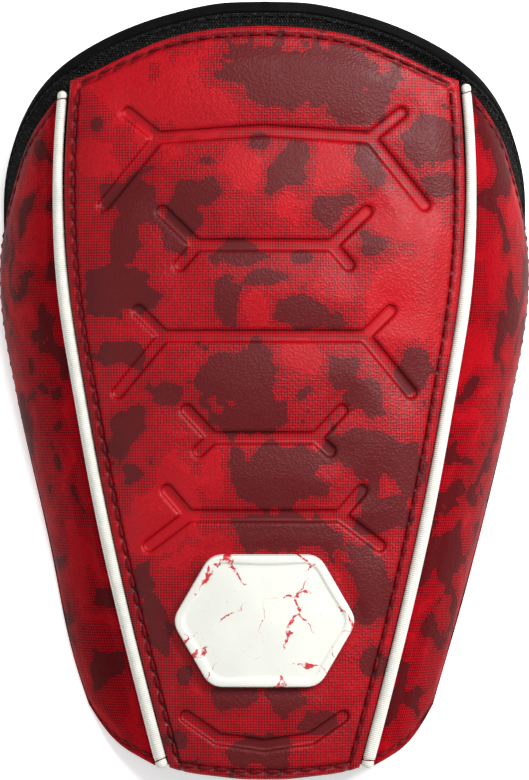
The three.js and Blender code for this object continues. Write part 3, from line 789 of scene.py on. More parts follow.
def printed_leather(name, colours, painted_shade_factor=1.0, patch=6.5, drift=1.5, gloss=0.15):
    """Pebbled synthetic leather with the camouflage print: bright ground, dots and solid dark patches."""
    finish = Finish(name, Specular_IOR_Level=gloss)
    fabric, u, v = finish.cloth()
    tone, channel = finish.attribute("tone"), finish.attribute("channel")
    centred = lambda noise, strength: finish.times(finish.math("SUBTRACT", noise, 0.5), strength)
    wander = centred(finish.noise(fabric, patch, 0.0, 0.5, 0.7), drift)
    ragged = centred(finish.noise(fabric, 3.2, 1.0, 0.4, 0.5), 0.9)
    level = finish.plus(tone, finish.plus(wander, ragged))
    dots = finish.plus(finish.wave(u, colours.dot_pitch), finish.wave(v, colours.dot_pitch))
    size = finish.ramp(level, -0.45, 0.45, 0.7, 0.0)
    dot = finish.ramp(finish.math("SUBTRACT", dots, size), -0.25, 0.25)
    # bright ground below the first level, dots between, solid patches above the second
    dotted = finish.ramp(level, -0.47, -0.43)
    solid = finish.ramp(level, 0.45, 0.49)
    cloud = finish.noise(fabric, 30.0, 2.0)
    # Every colour is scaled by the shade factor: below 1 it paints shade over the whole print.
    tint = lambda rgb, share=1.0: shaded(rgb, painted_shade_factor * share)
    ground = finish.mix(finish.ramp(cloud, 0.35, 0.65), tint(colours.bright_red, 0.84), tint(colours.bright_red))
    printed = finish.mix(finish.times(dot, dotted), ground, tint(colours.dot_red))
    printed = finish.mix(solid, printed, tint(colours.dark_red))
    pebble_size, pebble_height, channel_step = 0.55, 0.00009, -0.0004
    pebbles = finish.cells(fabric, pebble_size, "SMOOTH_F1")
    fine = finish.noise(fabric, 0.3, 2.0, 0.6)
    pressed = finish.ramp(channel, -0.3, 0.2, 1.0, 0.0)
    plain = finish.math("SUBTRACT", 1.0, finish.times(pressed, 0.8))
    raised = finish.times(finish.ramp(pebbles, 0.1, 0.6, 1.0, 0.0), plain)
    # painted shade: a thin dark line along the flex channels' walls, where the pressed channels fall into shade
    wall = finish.ramp(finish.math("ABSOLUTE", finish.plus(channel, 0.05)), 0.02, 0.26, 0.3, 0.0)
    printed = finish.mix(wall, printed, tint(colours.dark_red, 0.25))
    # painted shade in the creases between the grain's pebbles
    crease_shade = finish.ramp(raised, 0.0, 0.5, 0.16, 0.0)
    printed = finish.mix(finish.times(crease_shade, plain), printed, tint(colours.dark_red, 0.4))
    # painted shade: near black in the needle holes and along the stitch grooves, where the needle value is high
    printed = finish.mix(finish.attribute("needle"), printed, tint(colours.dark_red, 0.12))
    grain = finish.plus(raised, finish.times(fine, 0.3))
    relief = finish.bump(grain, 0.6, pebble_height)
    relief = finish.bump(pressed, 0.45, channel_step, relief)
    rough = finish.ramp(finish.noise(fabric, 7.0, 3.0, 0.6), 0.3, 0.7, 0.40, 0.50)
    return finish.dress(printed, rough, relief)


def sewing_thread(name, tint):
    finish = Finish(name, Specular_IOR_Level=0.08)
    place = finish.node("ShaderNodeTexCoord", "Object", {})
    strand = finish.noise(place, 0.0005, 2.0, 0.6)
    twist = finish.wave(finish.attribute("along"), 0.16)
    tinted = finish.mix(finish.ramp(strand, 0.3, 0.7), shaded(tint, 0.55), shaded(tint, 1.25))
    return finish.dress(tinted, 0.5, finish.bump(twist, 0.5, 0.00008))


def piping_cord(colours):
    finish = Finish("cord_white", Specular_IOR_Level=0.25, Sheen_Weight=0.05, Sheen_Roughness=0.5)
    fabric, u, v = finish.cloth()
    ribs = finish.wave(v, 0.5)
    threads = finish.wave(finish.plus(u, finish.times(v, 0.3)), 0.42)
    grime = finish.noise(fabric, 6.0, 4.0, 0.65)
    clean = colours.cord_white
    tinted = finish.mix(finish.ramp(grime, 0.35, 0.75), clean, shaded(clean, 0.8))
    # painted shade: greyer in the grooves between the cord's ribs
    tinted = finish.mix(finish.ramp(ribs, -1.0, -0.1, 0.42, 0.0), tinted, shaded(clean, 0.42))
    height = finish.plus(ribs, finish.times(threads, 0.5))
    rough = finish.ramp(grime, 0.2, 0.8, 0.55, 0.75)
    return finish.dress(tinted, rough, finish.bump(height, 0.35, 0.00008))


def ribbed_knit(colours):
    finish = Finish("knit_black", Specular_IOR_Level=0.03)
    fabric, u, v = finish.cloth()
    row = finish.times(finish.wave(v, 1.1), 0.18)
    ribs = finish.wave(finish.plus(u, row), 0.75)
    loops = finish.wave(v, 0.62)
    height = finish.plus(ribs, finish.times(loops, 0.6))
    sheen_specks = finish.noise(fabric, 0.9, 4.0, 0.75)
    tint = colours.knit_black
    # painted shade and light: the knit's troughs darker and its ribs lighter
    tinted = finish.mix(finish.ramp(height, -0.6, 1.4), shaded(tint, 0.45), shaded(tint, 1.9))
    # painted sheen: small lighter specks over the black knit
    tinted = finish.mix(finish.ramp(sheen_specks, 0.5, 0.72), tinted, shaded(tint, 6.0))
    rough = finish.ramp(sheen_specks, 0.3, 0.7, 0.7, 0.9)
    return finish.dress(tinted, rough, finish.bump(height, 0.6, 0.00018))


def binding_tape(colours):
    finish = Finish("tape_black", Specular_IOR_Level=0.02)
    fabric, u, v = finish.cloth()
    weave = finish.times(finish.wave(u, 0.5), finish.wave(v, 0.5))
    worn = finish.noise(fabric, 5.0, 4.0, 0.6)
    tint = colours.tape_black
    tinted = finish.mix(finish.ramp(worn, 0.4, 0.8), tint, shaded(tint, 1.7))
    rough = finish.ramp(worn, 0.3, 0.7, 0.6, 0.8)
    return finish.dress(tinted, rough, finish.bump(weave, 0.4, 0.0001))


def marbled_rubber(colours):
    """White moulded rubber with thin broken red veins that gather in places."""
    finish = Finish("rubber_white", Specular_IOR_Level=0.5, Coat_Weight=0.12, Coat_Roughness=0.35)
    fabric = finish.attribute("fabric", "Vector")
    swirl = finish.node("ShaderNodeTexNoise", "Color", {"Vector": fabric, "Scale": 0.22, "Detail": 4.0})
    bent = finish.vector("ADD", fabric, finish.vector("MULTIPLY", swirl, (7.0, 7.0, 0.0)))
    veins = finish.cells(bent, 13.0, "DISTANCE_TO_EDGE")
    gathered = finish.noise(finish.vector("ADD", fabric, (40.0, 11.0, 0.0)), 14.0, 2.0, 0.5)
    width = finish.ramp(gathered, 0.46, 0.70, 0.0, 0.05)
    line = finish.math("LESS_THAN", veins, width)
    broken = finish.ramp(finish.noise(fabric, 1.7, 3.0, 0.7), 0.40, 0.52)
    specks = finish.times(finish.ramp(finish.noise(fabric, 1.1, 3.0, 0.7), 0.68, 0.70), gathered)
    red = finish.math("MAXIMUM", finish.times(line, broken), specks)
    cloud = finish.noise(fabric, 12.0, 3.0, 0.5)
    white = colours.rubber_white
    base = finish.mix(finish.ramp(cloud, 0.3, 0.7), white, shaded(white, 0.93))
    tinted = finish.mix(red, base, colours.vein_red)
    rough = finish.ramp(cloud, 0.3, 0.7, 0.34, 0.46)
    return finish.dress(tinted, rough, finish.bump(finish.noise(fabric, 0.5, 3.0, 0.6), 0.15, 0.0001))


def woven_elastic(colours):
    finish = Finish("elastic_black", Specular_IOR_Level=0.2, Sheen_Weight=0.05, Sheen_Roughness=0.4)
    fabric, u, v = finish.cloth()
    ribs, picks = finish.wave(v, 1.5), finish.wave(u, 0.9)
    height = finish.plus(ribs, finish.times(picks, 0.6))
    worn = finish.noise(fabric, 8.0, 4.0, 0.6)
    tint = colours.elastic_black
    # painted shade and light: the weave's grooves darker and its ribs lighter
    tinted = finish.mix(finish.ramp(height, -1.2, 1.4), shaded(tint, 0.4), shaded(tint, 2.0))
    tinted = finish.mix(finish.ramp(worn, 0.5, 0.8, 0.0, 0.5), tinted, shaded(tint, 2.6))
    return finish.dress(tinted, finish.ramp(worn, 0.3, 0.7, 0.6, 0.8), finish.bump(height, 0.6, 0.0002))


def pale_floor():
    finish = Finish("floor_pale", Specular_IOR_Level=0.2, Emission_Color=(1.0, 1.0, 1.0), Emission_Strength=0.4)
    place = finish.node("ShaderNodeTexCoord", "Object", {})
    cloud = finish.noise(place, 0.4, 2.0)
    return finish.dress(finish.mix(cloud, (0.94, 0.94, 0.94), (0.96, 0.96, 0.96)), 0.7, None)


# Pieces


def channel_distance(shape, x, y):
    """Distance in plan to the nearest flex channel's wall, below 0 inside it."""
    def to_bar(start, end):
        start, end = np.array(start), np.array(end)
        run = end - start
        share = np.clip(((x - start[0]) * run[0] + (y - start[1]) * run[1]) / (run @ run), 0, 1)
        return np.hypot(x - start[0] - share * run[0], y - start[1] - share * run[1])

    nearest = np.full(np.shape(x), 1.0)
    x = np.abs(x)
    for at, rise, bar, up, down in CHANNELS:
        place = lambda across, along: (across * shape.half_seam, along * shape.half_length)
        fork = place(bar, at + rise)
        bars = [(place(0, at), fork), (fork, place(*up))] + ([(fork, place(*down))] if down else [])
        for start, end in bars:
            nearest = np.minimum(nearest, to_bar(start, end))
    return nearest - shape.sizes.channel_width / 2


def patch_tone(x, y):
    """How dark the print is meant to be: near 1 in solid patches, near -1 in bright ones, 0 where dots fill it."""
    def field(patches):
        total = np.zeros(np.shape(x))
        for cx, cy, half_width, half_height, tilt in patches:
            cos, sin = math.cos(math.radians(tilt)), math.sin(math.radians(tilt))
            dx, dy = x / MM - cx, y / MM - cy
            across, along = (dx * cos + dy * sin) / half_width, (dy * cos - dx * sin) / half_height
            total = np.maximum(total, 1 / (1 + (across**2 + along**2) ** 2))
        return total

    return 1.25 * field(DARK_PATCHES) - 1.35 * field(BRIGHT_PATCHES) - 0.08


def rolled_edge(inset, roll, run):
    """How far the face drops towards an edge, as a quarter round."""
    share = np.clip(1 - inset / run, 0, 1)
    return roll * (1 - np.sqrt(1 - share**2 * 0.999))


def bell(distance, width):
    return np.exp(-((distance / width) ** 2))


def saturated(distance):
    """0 at a held line, rising to 1 well away from it."""
    return 1 - np.exp(-np.maximum(distance, 0) / (5 * MM))


def needle_hole(distance, run, pitch):
    """1 at each needle hole of a stitch line, falling to 0 around it."""
    along = (run / pitch - np.round(run / pitch)) * pitch
    return np.exp(-((distance / (0.7 * MM)) ** 2) - (along / (0.8 * MM)) ** 2)


def sewn_valley(distance, depth, run, pitch):
    """The groove that thread pulls into the cover, deepest at the needle holes."""
    pull = 0.55 + 0.45 * np.cos(2 * np.pi * run / pitch)
    return depth * bell(distance, 0.6 * MM) * (0.6 + 0.7 * pull)


def puffed(shape, across, y, inset, held, pressure, cap):
    """How far a cover's foam swells at each place, simulated on every third place."""
    sizes = shape.sizes
    kept = np.ix_(*(np.unique(np.append(np.arange(0, n, 3), n - 1)) for n in inset.shape))
    across, y = across[kept], y[kept]
    front = shape.laid_at(across, y, 0.0)
    back = shape.laid_at(across, y, -sizes.shell)
    rise = foam_swell(front, back, held[kept], cap, pressure)
    rows, columns = (
        np.interp(np.arange(n), places.ravel(), np.linspace(0, 1, places.size))
        for n, places in zip(inset.shape, kept)
    )
    return between_points(rise, *np.broadcast_arrays(rows[:, None], columns))


def centre_cover(shape, colours):
    sizes = shape.sizes
    columns, rows = spread(176, 0.014), spread(330, 0.008)
    share, height = np.meshgrid(2 * columns - 1, rows)
    across, y = shape.panel_place(share, height)
    flat = shape.face_point(across, y)
    x = flat[..., 0]
    edges = shape.panel_edges(np.abs(share)) * shape.half_length
    limit = shape.panel_place(np.ones_like(y), height)[0]
    to_side = (limit - np.abs(across)) * shape.across_scale(0.98, y)
    slope = np.gradient(edges[..., 0], axis=1) / np.gradient(x, axis=1)
    to_top = (edges[..., 0] - y) / np.hypot(1, np.clip(slope, -1.2, 1.2))
    to_bottom = y - edges[..., 1]
    inset = np.minimum(np.minimum(to_side, to_top), to_bottom)
    channel = channel_distance(shape, x, y)
    wall = 0.45 * MM
    pressed = smoothstep(-channel, -wall, wall)
    covered = badge_footprint(shape, x, y)
    swell = saturated(channel) * smoothstep(inset, 2 * MM, 10 * MM) * (1 - covered)
    held = (inset < 3 * MM) | (channel < 0.3 * MM) | (covered > 0.4)
    rise = puffed(shape, across, y, np.minimum(inset, channel), held, *CENTRE_FOAM)
    lift = rise * swell - sizes.channel_depth * pressed
    lift = lift - rolled_edge(inset, sizes.edge_roll, sizes.roll_run)
    pitch = sizes.stitch_pitch
    needle = np.zeros_like(x)
    lines = (
        (to_side - sizes.stitch_inset, y, to_top > sizes.stitch_inset),
        (to_top - END_INSET, x, to_side > sizes.stitch_inset),
        (to_bottom - END_INSET, x, to_side > sizes.stitch_inset),
    )
    for distance, run, reached in lines:
        lift = lift - sewn_valley(distance, CENTRE_GROOVE, run, pitch) * reached
        # needle holds painted shade: full in each needle hole and weaker along the whole stitch groove
        holes = np.maximum(needle_hole(distance, run, pitch), 0.45 * bell(distance, 0.7 * MM))
        needle = np.maximum(needle, holes * reached)
    front = shape.laid_at(across, y, lift)
    back = shape.laid_at(across, y, -sizes.shell)
    across_run = across * shape.section(y / shape.half_length)[..., 0] * shape.half_seam
    attributes = {
        "fabric": fabric_place(across_run / MM, y / MM),
        "tone": patch_tone(x, y),
        "channel": np.clip(channel / MM, -3, 3),
        "needle": 0.85 * needle,
    }
    finish = printed_leather("leather_centre", colours)
    piece = pad_object("cover_centre", front, back, finish, 5, attributes, 70, PLAIN_BEHIND)
    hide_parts("centre_panel")
    return [piece]


def badge_outline(shape):
    """Corners of the badge's hexagon in plan."""
    half_height, half_length = shape.sizes.badge_height / 2, shape.sizes.badge_length / 2
    shoulder = half_length - half_height / math.sqrt(3)
    right = [(shoulder, -half_height), (half_length, 0), (shoulder, half_height)]
    return np.array(right + [(-x, -y) for x, y in right])


def badge_footprint(shape, x, y):
    """1 under the badge, where the cover is pressed flat, falling to 0 just outside it."""
    centre = shape.sizes.badge_inset - shape.half_length
    dx, dy = np.abs(x), np.abs(y - centre)
    half_height = shape.sizes.badge_height / 2
    slant = (dx * math.sqrt(3) + dy) / 2 - shape.sizes.badge_length * math.sqrt(3) / 4
    distance = np.maximum(dy - half_height, slant)
    return 1 - smoothstep(distance, 0, 4 * MM)


def left_belly(shape, points):
    """How far the left wing bulges outwards near its forearm end, where the two sides differ."""
    along = (points[..., 1] - shape.shift) / math.cos(shape.lean)
    seam = shape.section(along / shape.half_length)[..., 0] * shape.half_seam
    push = BELLY * bell(along - BELLY_PLACE, BELLY_SPREAD)
    push = push * smoothstep(np.abs(points[..., 0]) - seam, 2 * MM, 10 * MM)
    return push[..., None] * np.array([1.0, 0.0, 0.0])


def wing_cover(shape, finish, side):
    sizes = shape.sizes
    columns, rows = spread(90, 0.03), spread(230, 0.012)
    column, row = np.meshgrid(columns, rows)
    reach = RIGHT_REACH if side > 0 else LEFT_REACH

    def trimmed(offset):
        """Place across and along with the last column on the table, for that depth of the wing."""
        return shape.wing_place(column * shape.wing_foot(rows[:, None], reach, offset), row, reach)

    def square_to(edge):
        """Distance in from the forearm or elbow edge, which runs at a slant."""
        slant = np.abs(np.gradient(edge[0, :, 1])) / (np.linalg.norm(np.gradient(edge[0], axis=0), axis=-1) + 1e-9)
        return np.linalg.norm(flat - edge, axis=-1) * np.sqrt(np.clip(1 - slant**2, 0.1, 1))[None]

    across, y = trimmed(0.0)
    flat = shape.face_point(across, y)
    run = run_along(flat)
    inset = np.minimum(np.minimum(square_to(flat[-1:]), square_to(flat[:1])), run[:, -1:] - run)
    free = np.minimum(inset, run)
    lift = -rolled_edge(free, sizes.edge_roll, sizes.roll_run)
    lift = lift + puffed(shape, across, y, free, free < 2 * MM, *WING_FOAM) * smoothstep(free, 1 * MM, 7 * MM)
    lift = lift - sewn_valley(inset - WING_INSET, WING_GROOVE, y, sizes.stitch_pitch)
    front = shape.laid_at(across, y, lift)
    back = shape.laid_at(*trimmed(-sizes.shell), -sizes.shell)
    if side < 0:
        front += left_belly(shape, front)
    front, back = (cut_by_table(layer) * np.array([side, 1, 1]) for layer in (front, back))
    # each wing is cut from its own part of the printed cloth
    cut_from = 40 if side > 0 else -70
    attributes = {
        "fabric": fabric_place(run / MM + cut_from, y / MM + 3 * side, 5.0),
        # the right wing gets more dark patches than the left: partly its print, partly painted shade on the side the
        # key light falls on
        "tone": np.full_like(y, 0.15 + 0.12 * side),
        "channel": np.full_like(y, 3.0),
        # painted shade along the wing's stitch groove
        "needle": 0.5 * bell(inset - WING_INSET, 0.6 * MM),
    }
    name = "right_wing" if side > 0 else "left_wing"
    piece = pad_object("cover_" + name, front, back, finish, 5, attributes, 70, PLAIN_BEHIND)
    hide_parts(name)
    return piece


def wing_covers(shape, colours):
    # painted shade: the wings use the centre panel's leather with every colour scaled to 0.78, as they turn away from
    # the light
    finish = printed_leather("leather_wings", colours, painted_shade_factor=0.78, patch=9.0, drift=3.6, gloss=0.015)
    return [wing_cover(shape, finish, side) for side in (1, -1)]


def wing_stitch_places(shape, reach):
    """Places of a wing's topstitching: along its elbow edge, rear edge and forearm edge."""
    column = np.linspace(0.02, 0.99, 120)
    rear_rows = np.linspace(0, 1, 160)
    rear, rear_y = shape.wing_place(shape.wing_foot(rear_rows, reach, 0.0), rear_rows, reach)
    rear = rear - 1.8 * WING_INSET / shape.across_scale(rear - 0.05, rear_y)

    def edge_places(row, inward):
        """Places across and along beside the edge at that row, as far as the rear stitching."""
        across, y = shape.wing_place(column, np.full_like(column, row), reach)
        slope = np.gradient(y) / (np.gradient(across) * shape.across_scale(across, y))
        y = y + inward * WING_INSET * np.hypot(1, slope)
        return np.stack([across, y], -1), across < np.interp(y, rear_y, rear)

    top, on_top = edge_places(1, -1)
    bottom, on_bottom = edge_places(0, 1)
    down_rear = np.stack([rear, rear_y], -1)[::-1]
    inside = (bottom[-1, 1] < down_rear[:, 1]) & (down_rear[:, 1] < top[on_top][-1, 1])
    return np.concatenate([top[on_top], down_rear[inside], bottom[on_bottom][::-1]])


def cover_stitches(shape, colours):
    sizes = shape.sizes
    pitch, thread = sizes.stitch_pitch, sizes.thread
    finish = sewing_thread("thread_red", colours.thread_red)

    def holes(first, last):
        return np.arange(math.ceil(first / pitch), math.floor(last / pitch) + 1) * pitch

    def spans(across, y):
        points = shape.laid_at(across, y, CENTRE_THREAD_HEIGHT)
        return stitch_spans(points, shape.laid_normal(across, y))

    top_y, bottom_y = shape.panel_edges(0.95) * shape.half_length
    side_y = holes(bottom_y + 3 * MM, top_y - 2.6 * MM)
    clearance = shape.seam_clearance(side_y) + sizes.stitch_inset
    side = spans(1 - clearance / shape.across_scale(0.98, side_y), side_y)
    lines = [side, mirrored(side)]
    for edge, inward in ((0, -END_INSET), (1, END_INSET)):
        reach = shape.half_seam * shape.section(shape.panel_edges(0.9)[edge])[..., 0] * 0.9
        across = np.linspace(-0.93, 0.93, 401)
        y = shape.panel_edges(np.abs(across))[:, edge] * shape.half_length
        x = shape.face_point(across, y)[:, 0]
        y = y + inward * np.hypot(1, np.gradient(y) / np.gradient(x))
        marks = holes(-reach, reach)
        lines.append(spans(np.interp(marks, x, across), np.interp(marks, x, y)))
    piece = stitches_object("stitching_centre", *joined_lines(lines), thread, finish)
    right, left = (
        sewn_line(shape, wing_stitch_places(shape, reach), WING_THREAD_HEIGHT, pitch * 0.86)
        for reach in (RIGHT_REACH, LEFT_REACH)
    )
    left = mirrored([*(ends + left_belly(shape, ends) for ends in left[:2]), left[2]])
    wings = stitches_object("stitching_wings", *joined_lines([right, left]), thread * 0.8, finish, 0.25 * MM)
    return [piece, wings]


def cord_with_ties(shape, name, side, top, cord_finish, thread_finish):
    """One seam's ribbed cord with rounded ends, and the thread that binds each end."""
    sizes = shape.sizes
    bottom = shape.wing_edges(1.0)[1] * shape.half_length - sizes.gap
    y = np.linspace(bottom, top, 1300)
    flip = np.array([side, 1, 1])
    centres = shape.laid_at(1.0, y, -sizes.piping_sink) * flip
    up = shape.laid_normal(1.0, y) * flip
    run = run_along(centres)
    from_top = run[-1] - run
    # thinner towards the elbow end, slightly uneven, round at its ends, nipped by its ties, and ribbed
    taper_run, wave_run, end_round = 60 * MM, 19 * MM, 1.1 * MM
    nip, nip_width, rib, rib_pitch = 0.16 * MM, 0.45 * MM, 0.035 * MM, 0.5 * MM
    radius = sizes.piping / 2 * (0.82 + 0.22 * smoothstep(from_top, 0, taper_run))
    radius = radius * (1 - 0.04 * np.sin(run / wave_run) ** 2)
    end = np.minimum(run, from_top)
    radius = radius * np.sqrt(np.clip(1 - np.clip(1 - end / end_round, 0, 1) ** 2, 0.02, 1))
    radius = radius - nip * bell(end - TIE_INSET, nip_width) + rib * np.cos(2 * np.pi * run / rib_pitch)
    sides = 20
    circle = circles(unit(np.gradient(centres, axis=0)), up, sides)
    rings = centres[:, None] + circle * radius[:, None, None]
    fabric = fabric_place(np.linspace(0, 9.4, sides, endpoint=False), run[:, None] / MM)
    cord = tube_object("cord_" + name, rings, cord_finish, fabric, 180)
    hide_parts(name)
    vertices, faces, turns, strands = [], [], 28, 6
    thread_radius, thread_lift, slant = 0.15 * MM, 0.06 * MM, 0.3 * MM
    turn = np.linspace(0, 2 * np.pi, turns, endpoint=False)[:, None]
    small = np.linspace(0, 2 * np.pi, strands, endpoint=False)[None, :, None]
    for n, target in enumerate((TIE_INSET, run[-1] - TIE_INSET)):
        k = int(np.argmin(np.abs(run - target)))
        ahead = unit(centres[k + 1] - centres[k - 1])
        sideways = unit(np.cross(ahead, up[k]))
        outward = np.cos(turn) * up[k] + np.sin(turn) * sideways
        path = centres[k] + (radius[k] + thread_lift) * outward + ahead * slant * np.sin(turn)
        ring = path[:, None] + thread_radius * (np.cos(small) * outward[:, None] + np.sin(small) * ahead)
        vertices.append(ring.reshape(-1, 3))
        base = n * turns * strands
        corner = lambda i, j: base + i % turns * strands + j % strands
        faces += [
            [corner(i, j), corner(i, j + 1), corner(i + 1, j + 1), corner(i + 1, j)]
            for i in range(turns) for j in range(strands)
        ]
    vertices = np.concatenate(vertices)
    ties = mesh_object("ties_" + name, vertices, faces, thread_finish, {"along": np.zeros(len(vertices))})
    return [cord, ties]


def seam_piping(shape, colours):
    finish = piping_cord(colours)
    thread = sewing_thread("thread_tie", colours.thread_red)
    top = shape.panel_edges(1.0)[0] * shape.half_length - shape.sizes.piping
    right = cord_with_ties(shape, "right_piping", 1, top + RIGHT_CORD_REACH, finish, thread)
    return right + cord_with_ties(shape, "left_piping", -1, top + LEFT_CORD_REACH, finish, thread)


def lining_pad(shape, colours):
    sizes = shape.sizes
    columns = np.linspace(-1, 1, 241)
    # rows from 0 to 1 lie behind the cover, and from 1 to 2 between the cover's edge and the rim
    rows = np.concatenate([np.linspace(0, 1, 150), 1 + np.linspace(0, 1, 44)[1:]])
    column, row = np.meshgrid(columns, rows)

    def place(across, row):
        bottom, top = shape.lining_ends(across)
        clear = shape.cover_top(np.minimum(np.abs(across), 2)) + 2 * sizes.gap
        return np.where(row <= 1, lerp(bottom, clear, row), lerp(clear, top, row - 1))

    def layer(share):
        """Places across and points of the lining's face against the cover, or with share 1 of its inner side."""
        strip = rows[:, None]
        above = lambda a: shape.above_table(shape.lining_point(a, place(a, strip), 0.0, share))
        across = column * crossing(above, np.full_like(strip, 1.3), np.full_like(strip, REAR_OVERRUN))
        y = place(across, row)
        eased = shape.rim_ease(across, share) * smoothstep(row, 1.0, 2.0)[..., None]
        return across, y, cut_by_table(shape.laid(shape.lining_point(across, y, 0.0, share) + eased))

    across, y, outer = layer(0.0)
    inner = layer(1.0)[2]
    run, middle = run_along(shape.face_point(across, y)), len(columns) // 2
    fabric = fabric_place((run - run[:, middle, None]) / MM, y / MM)
    piece = pad_object("lining_pad", outer, inner, ribbed_knit(colours), 2, {"fabric": fabric}, 70)
    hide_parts("lining")
    return [piece]


def rim_tape(shape, colours):
    """The tape that rolls over the lining's rim, and the lockstitch that holds it."""
    sizes = shape.sizes
    edge = lambda a, share: shape.lining_point(a, shape.lining_ends(a)[1], 0.0, share) + shape.rim_ease(a, share)
    middle = lambda a: lerp(edge(a, 0.0), edge(a, 1.0), 0.5)

    def directions(a):
        """Across the lining's edge towards the face, and outwards from it."""
        up = unit(edge(a, 0.0) - edge(a, 1.0))
        return up, unit(np.cross(up, unit(edge(a + 0.02, 0.0) - edge(a - 0.02, 0.0))))

    foot = float(crossing(lambda a: shape.above_table(middle(a)), np.array(1.3), np.array(REAR_OVERRUN)))
    across = np.linspace(-1, 1, 561) * foot
    top, under = edge(across, 0.0), edge(across, 1.0)
    up, outward = directions(across)
    back = middle(across) + outward * sizes.gap
    half_height = np.linalg.norm(top - under, axis=-1) / 2 + sizes.binding_proud
    angle = np.linspace(-np.pi / 2, np.pi / 2, 15)
    squared = np.cos(angle) ** 0.8
    hem_height, hem_depth = 0.55, 0.75 * MM
    rings = (
        back[:, None] + outward[:, None] * (sizes.binding_width * squared)[None, :, None]
        + up[:, None] * (half_height[:, None] * np.sin(angle))[..., None]
    )
    # the hem goes a little way into the lining, so that no light shows between the two
    hem = back[:, None] + up[:, None] * (half_height[:, None] * np.array([hem_height, 0.0, -hem_height]))[..., None]
    rings = cut_by_table(shape.laid(np.concatenate([rings, hem - outward[:, None] * hem_depth], 1)))
    along = run_along(rings[:, len(angle) // 2])
    fabric = fabric_place(along[:, None] / MM, np.linspace(0, 9, rings.shape[1]))
    piece = tube_object("binding_rim", rings, binding_tape(colours), fabric, 50)
    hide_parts("rim_binding")
    line = np.linspace(-foot * 0.985, foot * 0.985, 700)
    up, outward = directions(line)
    seam_inset, thread_rise = 0.9, 0.08
    seam = shape.laid(edge(line, 0.0) - outward * seam_inset * MM + up * thread_rise * MM)
    thread = stitches_object(
        "stitching_rim", *even_spans(seam, shape.laid_direction(up), RIM_PITCH), RIM_THREAD,
        sewing_thread("thread_black", RIM_BLACK),
    )
    return [piece, thread]


def badge_plate(shape, colours):
    """A plain six-sided plate with rounded corners, a raised border and a slightly domed middle."""
    sizes = shape.sizes
    centre = sizes.badge_inset - shape.half_length
    corners = badge_outline(shape)
    outline = []
    for k, corner in enumerate(corners):
        before, after = unit(corners[k - 1] - corner), unit(corners[(k + 1) % 6] - corner)
        start, end = corner + before * BADGE_CORNER, corner + after * BADGE_CORNER
        t = np.linspace(0, 1, 10)[:, None]
        outline.append(bend(start, corner, end, t))
        next_start = corners[(k + 1) % 6] - after * BADGE_CORNER
        outline.append(lerp(end, next_start, np.linspace(0, 1, 12)[1:-1, None]))
    outline = np.concatenate(outline)
    distance = np.linalg.norm(outline, axis=1)[:, None]
    thick = sizes.badge_thickness + sizes.gap
    insets, levels = np.array(BADGE_PROFILE).T
    rings = np.array([outline * (1 - inset * MM / distance) for inset in insets[:-1]] + [outline * 0.1])
    count, sides = rings.shape[:2]
    plan = np.concatenate([rings.reshape(-1, 2), [[0, 0]]])
    lift = np.append(np.repeat(levels * thick, sides), BADGE_MIDDLE * thick)
    x, y = plan[:, 0], plan[:, 1] + centre
    vertices = shape.laid_at(shape.across_of(x, y), y, lift)
    faces = grid_faces(count, sides, wrap=True)
    last = count * sides
    faces += [[last - sides + i, last - sides + (i + 1) % sides, last] for i in range(sides)]
    under = shape.laid_at(shape.across_of(x[:sides], y[:sides]), y[:sides], -0.25 * MM)
    vertices = np.concatenate([vertices, under])
    base = last + 1
    faces += [[i, (i + 1) % sides, base + (i + 1) % sides, base + i] for i in range(sides)]
    faces.append(list(range(base, base + sides)))
    flat = np.concatenate([plan, plan[:sides]]) / MM
    fabric = fabric_place(flat[:, 0], flat[:, 1])
    piece = mesh_object("badge_plate", vertices, faces, marbled_rubber(colours), {"fabric": fabric}, 50)
    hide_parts("badge")
    return [piece]


